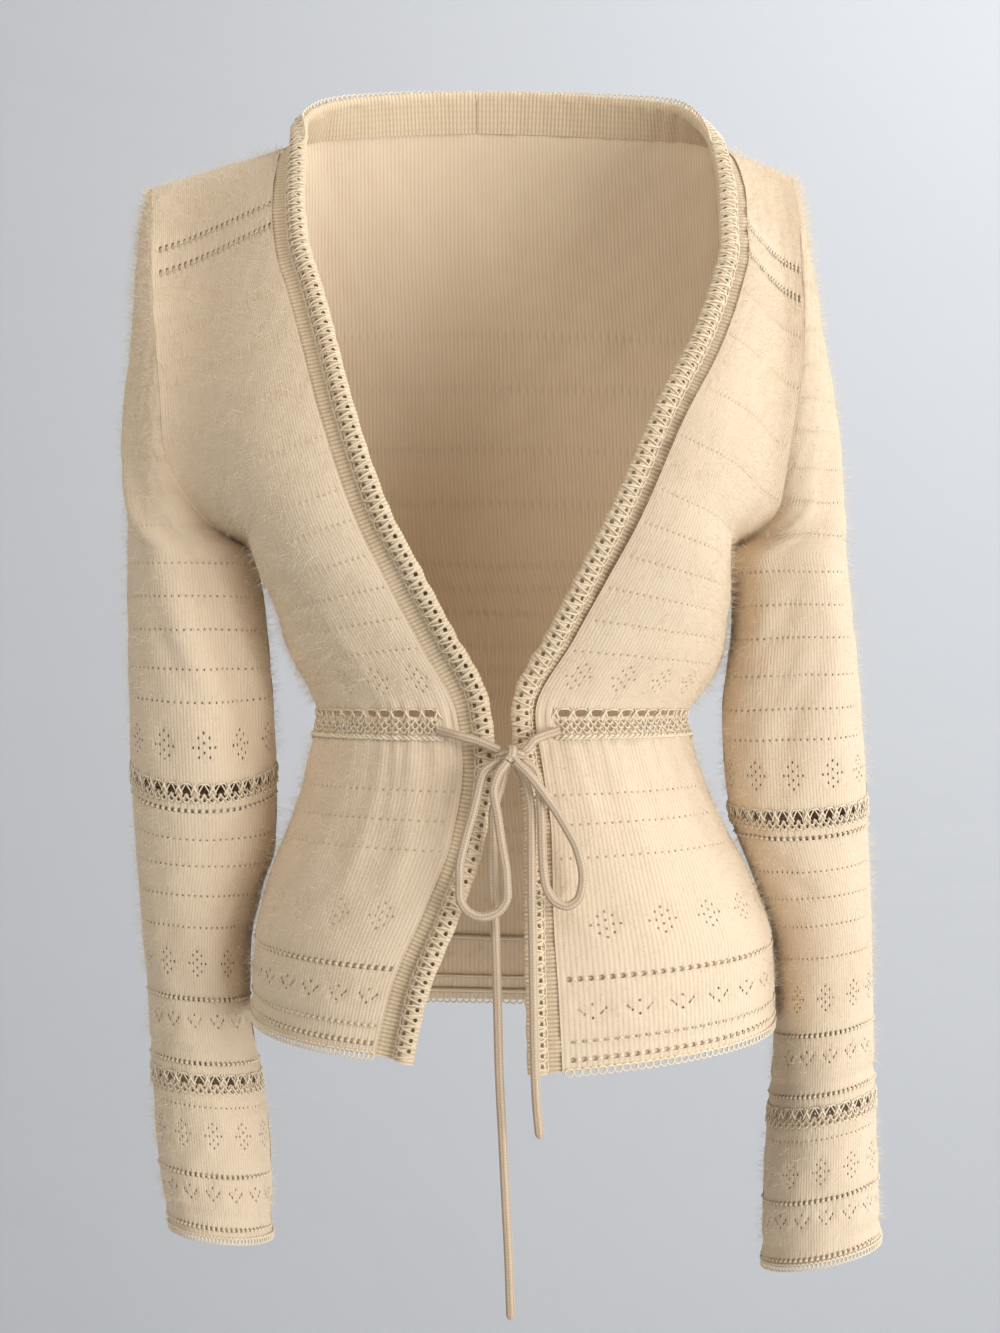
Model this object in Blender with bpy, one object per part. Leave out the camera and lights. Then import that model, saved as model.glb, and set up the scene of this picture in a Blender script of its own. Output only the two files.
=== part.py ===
"""Tie-front knit cardigan in its worn form, hollow, with a drawstring bow.

Metres, +Z up, the front faces -Y. The wearer's right side is at -X.
The origin is where a wearer's shoulders hold it: between the shoulder seams, level with them.
Every panel is a wall on a surface worked out from tables of sections.
"""
import math
from collections import namedtuple

import bmesh
import bpy
import numpy as np

for leftover in list(bpy.data.objects):
    bpy.data.objects.remove(leftover, do_unlink=True)

MM = 0.001
WALL = 2.0 * MM

# Seam between a front and its band, from the hem corner up to the centre back neck, in millimetres.
# width is the band's width there, stand is how far it turns up from lying flat, in degrees.
Seam = namedtuple("Seam", "x y z width stand")
SEAM_RIGHT = [
    Seam(-70, -97, -534, 22, 0),
    Seam(-60, -98, -494, 21, 0),
    Seam(-42, -97, -452, 20, 0),
    Seam(-27, -93, -412, 19, 0),
    Seam(-21, -88, -372, 19, 0),
    Seam(-25, -86, -342, 20, 0),
    Seam(-45, -94, -303, 21, 0),
    Seam(-64, -104, -267, 21, 0),
    Seam(-82, -111, -230, 20, 0),
    Seam(-100, -106, -177, 20, 0),
    Seam(-111, -92, -137, 20, 0),
    Seam(-120, -79, -105, 20, 2),
    Seam(-129, -66, -75, 20, 5),
    Seam(-132, -48, -43, 20, 12),
    Seam(-131, -22, -15, 20, 25),
    Seam(-129, 4, -4, 20, 40),
    Seam(-112, 28, 6, 22, 60),
    Seam(-75, 48, 13, 24, 78),
    Seam(-40, 59, 16.8, 25, 83),
    Seam(-15, 62, 18, 25, 85),
]
SEAM_LEFT = [
    Seam(35, -102, -543, 20, 0),
    Seam(33, -102, -503, 19, 0),
    Seam(30, -99, -455, 17, 0),
    Seam(29, -94, -410, 16, 0),
    Seam(24, -88, -372, 15, 0),
    Seam(20, -86, -343, 14, 0),
    Seam(42, -95, -300, 16, 0),
    Seam(60, -105, -267, 17, 0),
    Seam(79, -111, -232, 18, 0),
    Seam(103, -107, -177, 18, 0),
    Seam(124, -92, -137, 18, 0),
    Seam(136, -79, -105, 18, 2),
    Seam(143, -66, -75, 18, 5),
    Seam(143, -48, -43, 18, 12),
    Seam(138, -22, -15, 18, 25),
    Seam(131, 4, -4, 19, 40),
    Seam(112, 28, 6, 22, 60),
    Seam(62, 50, 13, 24, 78),
    Seam(14, 60, 17, 25, 83),
    Seam(-15, 62, 18, 25, 85),
]
NECK_ROW = 15

# Body sections from the hem up to the underarm: side seams and centre back, in millimetres.
Body = namedtuple("Body", "z right_side left_side back_x back_y")
BODY = [
    Body(-545, -148, 164, 8, 106),
    Body(-516, -148, 164, 8, 105),
    Body(-474, -146, 162, 8, 101),
    Body(-444, -139, 151, 6, 93),
    Body(-396, -121, 127, 3, 77),
    Body(-360, -112, 114, 2, 69),
    Body(-345, -109, 111, 1, 68),
    Body(-330, -114, 122, 3, 71),
    Body(-310, -125, 133, 3, 76),
    Body(-282, -134, 136, 1, 81),
    Body(-248, -148, 134, -7, 85),
    Body(-200, -160, 140, -10, 89),
    Body(-150, -170, 150, -12, 90),
    Body(-100, -180, 160, -13, 86),
    Body(-50, -190, 165, -15, 77),
    Body(18, -209, 175, -15, 62),
]

# Sleeve sections from the shoulder tip to the cuff, in millimetres and degrees.
# seam is the armhole down to the underarm, then the underarm line. turn is the arc from outer line to seam.
Sleeve = namedtuple("Sleeve", "z seam outer mid_y front back turn")
SLEEVE_RIGHT = [
    Sleeve(-28, -209, -209.5, 6, 1, 1, 60),
    Sleeve(-34, -208, -212.5, 6, 13, 13, 60),
    Sleeve(-55, -206, -216, 6, 30, 36, 62),
    Sleeve(-85, -204, -218, 5, 46, 52, 66),
    Sleeve(-116, -201, -219, 4, 54, 60, 72),
    Sleeve(-156, -197, -220, 3, 56, 60, 82),
    Sleeve(-186, -195, -221, 2, 54, 56, 95),
    Sleeve(-211, -186, -222, 1, 51, 52, 112),
    Sleeve(-235, -167, -222.5, 0, 50, 50, 143),
    Sleeve(-248, -148.5, -223, 0, 49, 49, 180),
    Sleeve(-276, -142, -223, 2, 49, 48, 180),
    Sleeve(-330, -137.5, -223, 6, 46, 46, 180),
    Sleeve(-376, -135, -222, 8, 44, 44, 180),
    Sleeve(-420, -136, -220, 12, 43, 43, 180),
    Sleeve(-450, -144.5, -218, 14, 43, 43, 180),
    Sleeve(-480, -151, -216, 16, 42, 42, 180),
    Sleeve(-516, -152, -213, 18, 40, 40, 180),
    Sleeve(-560, -145, -211, 18, 38, 38, 180),
    Sleeve(-612, -139, -207, 16, 36, 36, 180),
    Sleeve(-655, -138, -200, 14, 34, 34, 180),
]
SLEEVE_LEFT = [
    Sleeve(-21, 175, 175.5, 6, 1, 1, 60),
    Sleeve(-28, 175.5, 178.5, 6, 13, 13, 60),
    Sleeve(-55, 178, 183, 6, 30, 36, 62),
    Sleeve(-96, 178, 189, 5, 48, 54, 68),
    Sleeve(-126, 177, 193, 4, 54, 60, 74),
    Sleeve(-156, 174, 198, 3, 56, 60, 82),
    Sleeve(-190, 168, 201.5, 2, 54, 56, 97),
    Sleeve(-222, 163, 204, 1, 51, 52, 118),
    Sleeve(-236, 153, 205.5, 0, 50, 50, 143),
    Sleeve(-251, 134.5, 207, 0, 49, 49, 180),
    Sleeve(-270, 138.8, 209, 1, 49, 48, 180),
    Sleeve(-288, 139.5, 211, 2, 48, 48, 180),
    Sleeve(-312, 137, 214, 4, 47, 47, 180),
    Sleeve(-343, 134, 217, 6, 45, 45, 180),
    Sleeve(-398, 138, 221, 9, 43, 43, 180),
    Sleeve(-430, 149.5, 222.5, 12, 43, 43, 180),
    Sleeve(-450, 157, 223.5, 13, 42, 42, 180),
    Sleeve(-480, 166, 224.5, 15, 42, 42, 180),
    Sleeve(-516, 167.5, 225.5, 17, 41, 41, 180),
    Sleeve(-578, 163, 227, 17, 40, 40, 180),
    Sleeve(-620, 160, 228.5, 16, 39, 39, 180),
    Sleeve(-668, 159, 230, 15, 38, 38, 180),
]

# Folds: a soft ridge (rise > 0) or trough along a line from one place to the other.
# Places are (fraction across, height in millimetres), wide is the half width as a fraction across,
# fade is how far it runs out past its ends.
Fold = namedtuple("Fold", "across_0 z_0 across_1 z_1 rise wide fade")
FOLDS = {
    "sleeve_right_front": [Fold(0.70, -170, 0.42, -350, 4.0, 0.12, 40), Fold(0.45, -270, 0.24, -345, -4.5, 0.11, 30),
                           Fold(0.50, -455, 0.30, -510, 2.5, 0.16, 30)],
    "sleeve_left_front": [Fold(0.48, -230, 0.42, -340, -4.5, 0.13, 40), Fold(0.74, -210, 0.68, -350, 3.0, 0.13, 40),
                          Fold(0.50, -470, 0.34, -530, 2.5, 0.16, 30)],
    "sleeve_right_back": [Fold(0.55, -270, 0.35, -340, -3.0, 0.16, 40)],
    "sleeve_left_back": [Fold(0.55, -270, 0.35, -340, -3.0, 0.16, 40)],
    "front_right": [Fold(0.20, -370, 0.16, -420, 2.4, 0.05, 22), Fold(0.33, -370, 0.34, -420, 2.2, 0.05, 22),
                    Fold(0.47, -370, 0.52, -420, 1.8, 0.06, 22), Fold(0.42, -225, 0.46, -190, 10.0, 0.34, 62)],
    "front_left": [Fold(0.30, -370, 0.34, -415, 1.6, 0.07, 22), Fold(0.55, -370, 0.60, -420, 1.6, 0.07, 22),
                   Fold(0.40, -225, 0.44, -190, 10.0, 0.34, 62)],
    "back": [],
}

WAIST_LOW = -345 * MM
WAIST_BACK = -372 * MM
DIP_REACH = 45 * MM
LACE_TALL = 0.042
YOKE_EDGE = -215 * MM
YOKE_BACK = -250 * MM
HEM_BACK = -530 * MM
TRIM = 0.4 * MM

# Levels of the lines of a body panel: 0 hem, 1 waist, 2 underarm, 3 shoulder.
SKIRT_LEVELS = (0, 0.10, 0.22, 0.34, 0.46, 0.58, 0.70, 0.82, 0.92)
LACE_LEVELS = (1.0, 1.0 + LACE_TALL)
BODICE_LEVELS = (1.14, 1.27, 1.42, 1.57, 1.72, 1.86, 2.0)
YOKE_LEVELS = (2.04, 2.1, 2.21, 2.33, 2.45, 2.57, 2.69, 2.80, 2.90)
SHOULDER_LEVEL = 2.9935
BACK_HALF_COLUMNS = 11

WAIST_HOLES_FRONT = 13
WAIST_HOLES_BACK = 30
ELBOW_HOLES = 14
WRIST_HOLES = 11


def slopes(knots, values):
    """Slopes of a smooth curve through the table that never overshoots it."""
    step = np.diff(knots)[:, None]
    rise = np.diff(values, axis=0) / step
    inner = np.zeros_like(rise[1:])
    agree = rise[1:] * rise[:-1] > 0
    inner[agree] = (2 * rise[1:] * rise[:-1])[agree] / (rise[1:] + rise[:-1])[agree]
    return np.vstack([rise[:1], inner, rise[-1:]])


class Table:
    """A table read as smooth curves: call it with a key to get every other column there."""

    def __init__(self, rows, key=None):
        data = np.array(rows, float)
        if key is None:
            knots = np.concatenate([[0], np.cumsum(np.linalg.norm(np.diff(data[:, :3], axis=0), axis=1))])
        else:
            knots = data[:, rows[0]._fields.index(key)]
        order = np.argsort(knots)
        self.knots = knots[order]
        self.data = data[order]
        self.slope = slopes(self.knots, self.data)

    def __call__(self, at):
        at = np.clip(np.asarray(at, float), self.knots[0], self.knots[-1])
        low = np.clip(np.searchsorted(self.knots, at, "right") - 1, 0, len(self.knots) - 2)
        step = self.knots[low + 1] - self.knots[low]
        t = ((at - self.knots[low]) / step)[..., None]
        step = step[..., None]
        rows = self.data
        return ((1 + 2 * t) * (1 - t) ** 2 * rows[low] + t * (1 - t) ** 2 * step * self.slope[low]
                + t * t * (3 - 2 * t) * rows[low + 1] + t * t * (t - 1) * step * self.slope[low + 1])


BODY_AT = Table(BODY, "z")
SIDES = {
    "right": dict(seam=Table(SEAM_RIGHT), edge=Table(SEAM_RIGHT[:NECK_ROW + 1], "z"),
                  sleeve=Table(SLEEVE_RIGHT, "z"), rows=SEAM_RIGHT, rings=SLEEVE_RIGHT,
                  side_column=1, hem_side=-521, pit=-248, tip=-28, cuff_tilt=8, dip=12, elbow=-376, wrist=-560,
                  neck_share=7 / 11),
    "left": dict(seam=Table(SEAM_LEFT), edge=Table(SEAM_LEFT[:NECK_ROW + 1], "z"),
                 sleeve=Table(SLEEVE_LEFT, "z"), rows=SEAM_LEFT, rings=SLEEVE_LEFT,
                 side_column=2, hem_side=-526, pit=-251, tip=-21, cuff_tilt=16, dip=5, elbow=-398, wrist=-578,
                 neck_share=9 / 11),
}


def edge_point(side, z):
    """Place on the seam of a front with its band at a height in metres."""
    row = SIDES[side]["edge"](z / MM)
    return np.stack([row[..., 0], row[..., 1], row[..., 2]], -1) * MM


def side_point(side, z):
    """Place on the side seam at a height in metres."""
    row = BODY_AT(z / MM)
    x = row[..., SIDES[side]["side_column"]]
    return np.stack([x, np.zeros_like(x), z / MM], -1) * MM


def back_point(z):
    """Place on the centre back line at a height in metres."""
    row = BODY_AT(z / MM)
    return np.stack([row[..., 3], row[..., 4], z / MM], -1) * MM


def armhole_point(side, z, face):
    """Place on the armhole at a height in metres, face -1 in front and +1 behind."""
    row = SIDES[side]["sleeve"](z / MM)
    turn = np.radians(row[..., 6])
    deep = row[..., 4] if face < 0 else row[..., 5]
    return np.stack([row[..., 1], row[..., 3] + face * deep * np.sin(turn), z / MM], -1) * MM


def quarter(start, end, across):
    """Quarter ellipse from start, where it runs along X, to end, where it runs along Y."""
    angle = across * math.pi / 2
    share = np.stack([np.sin(angle), 1 - np.cos(angle), across], -1)
    return start + (end - start) * share


def fold_rise(name, across, height):
    """Height of the main folds at places on a panel."""
    total = np.zeros(np.broadcast(across, height).shape)
    for fold in FOLDS[name]:
        z_0, z_1 = fold.z_0 * MM, fold.z_1 * MM
        along = np.clip((height - z_0) / (z_1 - z_0), 0, 1)
        line = fold.across_0 + (fold.across_1 - fold.across_0) * along
        beyond = np.maximum(np.maximum(height - max(z_0, z_1), min(z_0, z_1) - height), 0)
        total = total + (fold.rise * MM * np.exp(-((across - line) / fold.wide) ** 2)
                         * np.exp(-(beyond / (fold.fade * MM)) ** 2))
    return total


def torso(side, face, across, level):
    """Half of the body on one side, front (face -1) or back (face +1).

    across runs from the front edge or centre back (0) to the side seam or armhole (1).
    level is 0 at the hem, 1 at the waist, 2 at the underarm and 3 at the shoulder.
    """
    data = SIDES[side]
    across, level = np.broadcast_arrays(np.asarray(across, float), np.asarray(level, float))
    pit, tip = data["pit"] * MM, data["tip"] * MM
    hem_side = data["hem_side"] * MM
    hem_mid = data["rows"][0].z * MM if face < 0 else HEM_BACK
    yoke_mid = YOKE_EDGE if face < 0 else YOKE_BACK
    top_mid = data["rows"][NECK_ROW].z * MM if face < 0 else data["rows"][-1].z * MM
    low = np.clip(level, 0, 2)
    waist_mid = WAIST_LOW if face < 0 else WAIST_BACK
    z_mid = np.interp(low, [0, 1, 2], [hem_mid, waist_mid, yoke_mid])
    z_side = np.interp(low, [0, 1, 2], [hem_side, WAIST_LOW, pit])
    start = edge_point(side, z_mid) if face < 0 else back_point(z_mid)
    place = quarter(start, side_point(side, z_side), across)
    rise = np.clip(level - 2, 0, 1)
    climb = 1 - (1 - rise) ** 1.5
    z_up = yoke_mid + (top_mid - yoke_mid) * climb
    mid_up = edge_point(side, z_up) if face < 0 else back_point(z_up)
    arm_up = armhole_point(side, pit + (tip - pit) * climb, face)
    tip_at = armhole_point(side, np.array(tip), face)
    if face < 0:
        mid_top = edge_point(side, np.array(top_mid))
        top = mid_top + (tip_at - mid_top) * across[..., None]
    else:
        seam = data["seam"]
        share = data["neck_share"]
        neck_at = seam.knots[NECK_ROW]
        along = seam.knots[-1] + (neck_at - seam.knots[-1]) * np.clip(across / share, 0, 1)
        neck = seam(along)[..., :3] * MM
        out = np.clip((across - share) / (1 - share), 0, 1)[..., None]
        corner = seam(np.array(neck_at))[..., :3] * MM
        top = np.where(out > 0, corner + (tip_at - corner) * out, neck)
        mid_top = seam(np.array(seam.knots[-1]))[..., :3] * MM
    blend = (rise * rise * (3 - 2 * rise))[..., None]
    across_3 = across[..., None]
    near_arm = np.stack([across ** 3, across ** 3, across], -1)
    pit_at = side_point(side, np.array(pit))
    mid_low = edge_point(side, np.array(yoke_mid)) if face < 0 else back_point(np.array(yoke_mid))
    upper = ((1 - blend) * place + blend * top
             + (1 - across_3) * (mid_up - (1 - blend) * mid_low - blend * mid_top)
             + near_arm * (arm_up - (1 - blend) * pit_at - blend * tip_at))
    return np.where((level > 2)[..., None], upper, place)


def sleeve(side, face, across, level):
    """Half of a sleeve: across from the armhole or underarm line (0) to the outer line (1).

    level is 0 at the shoulder tip and 1 at the cuff. The rows dip in front of the elbow.
    """
    data = SIDES[side]
    across, level = np.broadcast_arrays(np.asarray(across, float), np.asarray(level, float))
    tip, pit = data["tip"] * MM, data["pit"] * MM
    cuff = data["rings"][-1].z * MM
    z = tip + (cuff - tip) * level
    row = data["sleeve"](z / MM)
    seam, outer, mid_y = row[..., 1], row[..., 2], row[..., 3]
    deep = row[..., 4] if face < 0 else row[..., 5]
    turn = np.radians(row[..., 6])
    angle = turn * (1 - across)
    reach = (seam - outer) / (1 - np.cos(turn))
    x = outer + reach * (1 - np.cos(angle))
    y = mid_y + face * deep * np.sin(angle)
    fall = np.clip((pit - z) / (pit - cuff), 0, 1) * data["cuff_tilt"] * MM
    inward = (1 - np.cos(angle)) / 2
    dip = 0.0
    if face < 0:
        dip = data["dip"] * MM * np.sin(math.pi * across) * np.exp(-((z - data["elbow"] * MM) / DIP_REACH) ** 2)
    return np.stack([x * MM, y * MM, z - fall * (inward - 0.5) - dip], -1)


def shared_normal(kind, side, across, level, place, own):
    """Outward direction of a body panel, the same as its neighbour's along band, shoulder and armhole."""
    out = own.copy()
    for part in ("right", "left"):
        data = SIDES[part]
        seam = data["seam"]
        if kind == "front" and part != side:
            continue
        face = -1 if kind == "front" else 1
        here = (across < 0) if part == "right" else (across >= 0)
        here = np.ones(across.shape, bool) if kind == "front" else here
        far = np.abs(across)
        z = place[..., 2] / MM
        neck = data["rows"][NECK_ROW]
        if kind == "front":
            heights = np.array([row.z for row in data["rows"][:NECK_ROW + 1]], float)
            along = np.interp(z, heights, seam.knots[:NECK_ROW + 1])
            edge = here & (far < 0.01)
        else:
            share = data["neck_share"]
            along = seam.knots[-1] + (seam.knots[NECK_ROW] - seam.knots[-1]) * np.clip(far / share, 0, 1)
            edge = here & (level > 2.99) & (far < share - 0.01)
        banded = band_frame(part, along)[2]
        out = np.where(edge[..., None], banded, out)
        shoulder = here & (level > 2.99) & ~edge
        ridge = armhole_point(part, np.array(data["tip"] * MM), face) - np.array([neck.x, neck.y, neck.z]) * MM
        up = np.array([-ridge[2], 0.0, ridge[0]])
        up = up * np.sign(up[2]) / np.linalg.norm(up)
        out = np.where(shoulder[..., None], up, out)
        cuff = data["rings"][-1].z
        arm_level = (z - data["tip"]) / (cuff - data["tip"])
        arm = surface("sleeve_" + part + ("_front" if face < 0 else "_back"))[1]
        sleeve_out = arm(np.zeros(across.shape), np.clip(arm_level, 0.004, 1))
        mix = (np.clip((z + 225) / 40, 0, 1) * (here & (far > 0.985) & (level > 2) & (level < 2.99)))[..., None]
        out = out * (1 - mix) + sleeve_out * mix
    return out / np.linalg.norm(out, axis=-1, keepdims=True)


def surface(name):
    """The surface of a named panel, as a function of places across and up, with its folds."""
    kind, side = name.split("_")[0], name.split("_")[-1]
    if kind == "front":
        def plain(across, level):
            return torso(side, -1, across, level)
    elif kind == "back":
        def plain(across, level):
            across = np.asarray(across, float)
            right = torso("right", 1, np.abs(across), level)
            left = torso("left", 1, np.abs(across), level)
            return np.where((across < 0)[..., None], right, left)
    else:
        face = -1 if side == "front" else 1
        arm = name.split("_")[1]

        def plain(across, level):
            return sleeve(arm, face, across, level)

    def own_normal(across, level):
        tiny = 2e-3
        low, high = (-1, 1) if kind == "back" else (0, 1)
        top = 1 if kind == "sleeve" else 3
        run = plain(np.minimum(across + tiny, high), level) - plain(np.maximum(across - tiny, low), level)
        climb = plain(across, np.minimum(level + tiny, top)) - plain(across, np.maximum(level - tiny, 0))
        out = np.cross(run, climb)
        out /= np.maximum(np.linalg.norm(out, axis=-1, keepdims=True), 1e-12)
        return out * facing

    def normal(across, level):
        across, level = np.broadcast_arrays(np.asarray(across, float), np.asarray(level, float))
        out = own_normal(across, level)
        if kind != "sleeve":
            out = shared_normal(kind, side, across, level, plain(across, level), out)
        return out

    facing = 1.0
    trial = (np.array([0.5]), np.array([0.5]))
    hint = np.array([0, -1.0 if kind == "front" or side == "front" else 1.0, 0])
    if np.sum(own_normal(*trial) * hint) < 0:
        facing = -1.0

    def place(across, level):
        base = plain(across, level)
        rise = fold_rise(name, np.broadcast_to(across, base.shape[:-1]), base[..., 2])
        return base + rise[..., None] * normal(across, level)

    return place, normal


def zip_lines(low, high, low_first, high_first):
    """Triangles between two lines of points with any number of places along each."""
    faces = []
    i, j = 0, 0
    while i < len(low) - 1 or j < len(high) - 1:
        step_low = (low[i + 1] + low[i]) / 2 if i < len(low) - 1 else math.inf
        step_high = (high[j + 1] + high[j]) / 2 if j < len(high) - 1 else math.inf
        if step_low <= step_high:
            faces.append((low_first + i, low_first + i + 1, high_first + j))
            i += 1
        else:
            faces.append((low_first + i, high_first + j + 1, high_first + j))
            j += 1
    return faces


def trimmed(place, across, level):
    """Places across moved in from both ends by the same small distance."""
    fine = np.linspace(across[0], across[-1], 60)
    length = np.sum(np.linalg.norm(np.diff(place(fine, np.full(60, level)), axis=0), axis=1))
    middle = (across[0] + across[-1]) / 2
    return middle + (across - middle) * (1 - 2 * TRIM / length)


def build_wall(name, lines, lace, material):
    """A wall of even thickness on a panel's surface.

    lines is a list of (level, places across). lace holds the numbers of the lines with a row of holes above.
    """
    place, normal = surface(name)
    points, normals, first = [], [], []
    for level, across in lines:
        first.append(sum(len(part) for part in points))
        across = trimmed(place, across, level)
        points.append(place(across, np.full(len(across), level)))
        normals.append(normal(across, np.full(len(across), level)))
    faces = []
    for row in range(len(lines) - 1):
        low, high = lines[row][1], lines[row + 1][1]
        if row in lace:
            for bar in range(0, len(low), 2):
                a, b = first[row] + bar, first[row + 1] + bar
                faces += [(a, a + 1, b + 1), (a, b + 1, b)]
        else:
            faces += zip_lines(low, high, first[row], first[row + 1])
    outer = np.vstack(points)
    inner = outer - WALL * np.vstack(normals)
    count = len(outer)
    once = {}
    for face in faces:
        for a, b in zip(face, face[1:] + face[:1]):
            if (b, a) in once:
                del once[(b, a)]
            else:
                once[(a, b)] = True
    solid = list(faces)
    solid += [tuple(corner + count for corner in reversed(face)) for face in faces]
    for a, b in once:
        solid += [(b, a, a + count), (b, a + count, b + count)]
    return add_mesh(name, np.vstack([outer, inner]), solid, material)


def add_mesh(name, points, faces, material):
    """One named object from points and faces, turned so that its faces look outward."""
    mesh = bpy.data.meshes.new(name)
    mesh.from_pydata([tuple(point) for point in points], [], faces)
    build = bmesh.new()
    build.from_mesh(mesh)
    if build.calc_volume(signed=True) < 0:
        bmesh.ops.reverse_faces(build, faces=build.faces)
    build.to_mesh(mesh)
    build.free()
    mesh.materials.append(material)
    item = bpy.data.objects.new(name, mesh)
    COLLECTION.objects.link(item)
    return item


def new_material(name, colour):
    """A plain knit material."""
    material = bpy.data.materials.new(name)
    material.use_nodes = True
    shader = material.node_tree.nodes["Principled BSDF"]
    shader.inputs["Base Color"].default_value = colour
    shader.inputs["Roughness"].default_value = 0.9
    return material


def even(count, low=0.0, high=1.0):
    """Evenly spaced places across a panel."""
    return np.linspace(low, high, count + 1)


def hole_places(holes, low, high, open_share, narrow, ends):
    """Places of the bars between a row of holes: ends, then each hole's two sides."""
    pitch = (high - low) / holes
    half = pitch * open_share / 2 * narrow
    middles = low + pitch * (np.arange(holes) + 0.5)
    sides = np.stack([middles - half, middles + half], -1).ravel()
    return np.concatenate([[ends[0]], sides, [ends[-1]]])


def torso_lines(columns, low, high, holes, hole_low, hole_high):
    """Lines of a body panel, with its row of holes at the waist."""
    ends = even(columns, low, high)
    lines = [(level, ends) for level in SKIRT_LEVELS]
    lace = len(lines)
    lines.append((LACE_LEVELS[0], hole_places(holes, hole_low, hole_high, 0.72, 1.0, ends)))
    lines.append((LACE_LEVELS[1], hole_places(holes, hole_low, hole_high, 0.72, 0.72, ends)))
    lines += [(level, ends) for level in BODICE_LEVELS + YOKE_LEVELS + (SHOULDER_LEVEL,)]
    return lines, [lace]


def sleeve_lines(side):
    """Lines of half a sleeve, with its two rows of holes."""
    data = SIDES[side]
    tip, cuff = data["tip"], data["rings"][-1].z
    lines, lace = [], []

    def at(z):
        return (z - tip) / (cuff - tip)

    full = even(8)
    heights = [(tip - 2.5, 2)]
    for level in reversed(YOKE_LEVELS):
        climb = 1 - (3 - level) ** 1.5
        heights.append((data["pit"] + (tip - data["pit"]) * climb, 8))
    heights.append((data["pit"] - 0.3, 8))
    below = data["pit"]
    heights += [(below + (data["elbow"] - below) * share, 8) for share in (0.18, 0.38, 0.58, 0.80)]
    for z, columns in heights:
        lines.append((at(z), even(columns)))
    lace.append(len(lines))
    lines.append((at(data["elbow"] - 3), hole_places(ELBOW_HOLES, 0.01, 0.99, 0.68, 1.0, full)))
    lines.append((at(data["elbow"] + 3), hole_places(ELBOW_HOLES, 0.01, 0.99, 0.68, 0.8, full)))
    return lines, lace, full, at


def whole_sleeve_lines(side):
    """All lines of half a sleeve from the tip to the cuff, in order down the arm."""
    data = SIDES[side]
    lines, lace, full, at = sleeve_lines(side)
    top = lines.pop()
    bottom = lines.pop()
    lines += [top, bottom]
    elbow, wrist, cuff = data["elbow"], data["wrist"], data["rings"][-1].z
    lines += [(at(elbow + (wrist - elbow) * share), full) for share in (0.12, 0.30, 0.48, 0.66, 0.86)]
    lace.append(len(lines))
    lines.append((at(wrist + 3), hole_places(WRIST_HOLES, 0.01, 0.99, 0.68, 0.8, full)))
    lines.append((at(wrist - 3), hole_places(WRIST_HOLES, 0.01, 0.99, 0.68, 1.0, full)))
    lines += [(at(wrist + (cuff - wrist) * share), full) for share in (0.2, 0.45, 0.72, 1.0)]
    return lines, lace


def band_frame(side, along):
    """Place, direction toward the free edge and outward direction of a band, and its width."""
    seam = SIDES[side]["seam"]
    row = seam(along)
    place = row[..., :3] * MM
    ahead = seam(along + 1.0)[..., :3] - seam(along - 1.0)[..., :3]
    ahead /= np.linalg.norm(ahead, axis=-1, keepdims=True)
    sign = 1.0 if side == "right" else -1.0
    level_off = np.clip((along - seam.knots[-2]) / (seam.knots[-1] - seam.knots[-2]), 0, 1)[..., None]
    ahead = ahead * (1 - level_off) + np.array([sign, 0.0, 0.0]) * level_off
    ahead /= np.linalg.norm(ahead, axis=-1, keepdims=True)
    neck = np.clip((along - seam.knots[NECK_ROW - 3]) / (seam.knots[NECK_ROW] - seam.knots[NECK_ROW - 3]), 0, 1)
    front = np.array([sign, 0.0, 0.0]) + 0 * place
    centre = np.array([-0.015, -0.010, 0.0]) - place * np.array([1, 1, 0])
    centre /= np.linalg.norm(centre, axis=-1, keepdims=True)
    toward = front * (1 - neck[..., None]) + centre * neck[..., None]
    toward -= np.sum(toward * ahead, -1, keepdims=True) * ahead
    toward /= np.linalg.norm(toward, axis=-1, keepdims=True)
    upright = np.cross(ahead, toward) * (-sign)
    stand = np.radians(row[..., 4])[..., None]
    free = np.cos(stand) * toward + np.sin(stand) * upright
    out = -np.sin(stand) * toward + np.cos(stand) * upright
    return place, free, out, row[..., 3] * MM


ROLL_WIDE = 4.6 * MM
ROLL_HIGH = 3.3 * MM
ROLL_TURNS = (-90, -40, 5, 50, 95, 140, 190)


def band_line(width):
    """Middle line of the band's section: a flat strip and an edge rolled outward."""
    middle = width - ROLL_WIDE - WALL / 2
    strip = [(0.45 * MM, -WALL / 2), (middle * 0.5, -WALL / 2)]
    roll = [(middle + ROLL_WIDE * math.cos(math.radians(turn)),
             ROLL_HIGH - WALL / 2 + ROLL_HIGH * math.sin(math.radians(turn))) for turn in ROLL_TURNS]
    return np.array(strip + roll)


def band_stations(side):
    """Distances along a band's seam where the panels beside it have their points."""
    data = SIDES[side]
    seam = data["seam"]
    heights = np.array([row.z for row in data["rows"][:NECK_ROW + 1]], float)
    levels = np.array(SKIRT_LEVELS + LACE_LEVELS + BODICE_LEVELS + YOKE_LEVELS + (SHOULDER_LEVEL,))
    place = surface("front_" + side)[0](np.zeros(len(levels)), levels)
    front = np.interp(place[:, 2] / MM, heights, seam.knots[:NECK_ROW + 1])
    for _ in range(6):
        miss = place[:, 2] / MM - seam(front)[:, 2]
        slope = (seam(front + 0.5)[:, 2] - seam(front - 0.5)[:, 2])
        front = np.clip(front + miss / np.maximum(slope, 0.05), 0, seam.knots[NECK_ROW])
    columns = round(data["neck_share"] * BACK_HALF_COLUMNS)
    neck = seam.knots[NECK_ROW] + (seam.knots[-1] - seam.knots[NECK_ROW]) * np.arange(1, columns + 1) / columns
    along = np.concatenate([front, neck])
    along[0] += 0.4
    along[-1] -= 0.6
    return along


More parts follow.
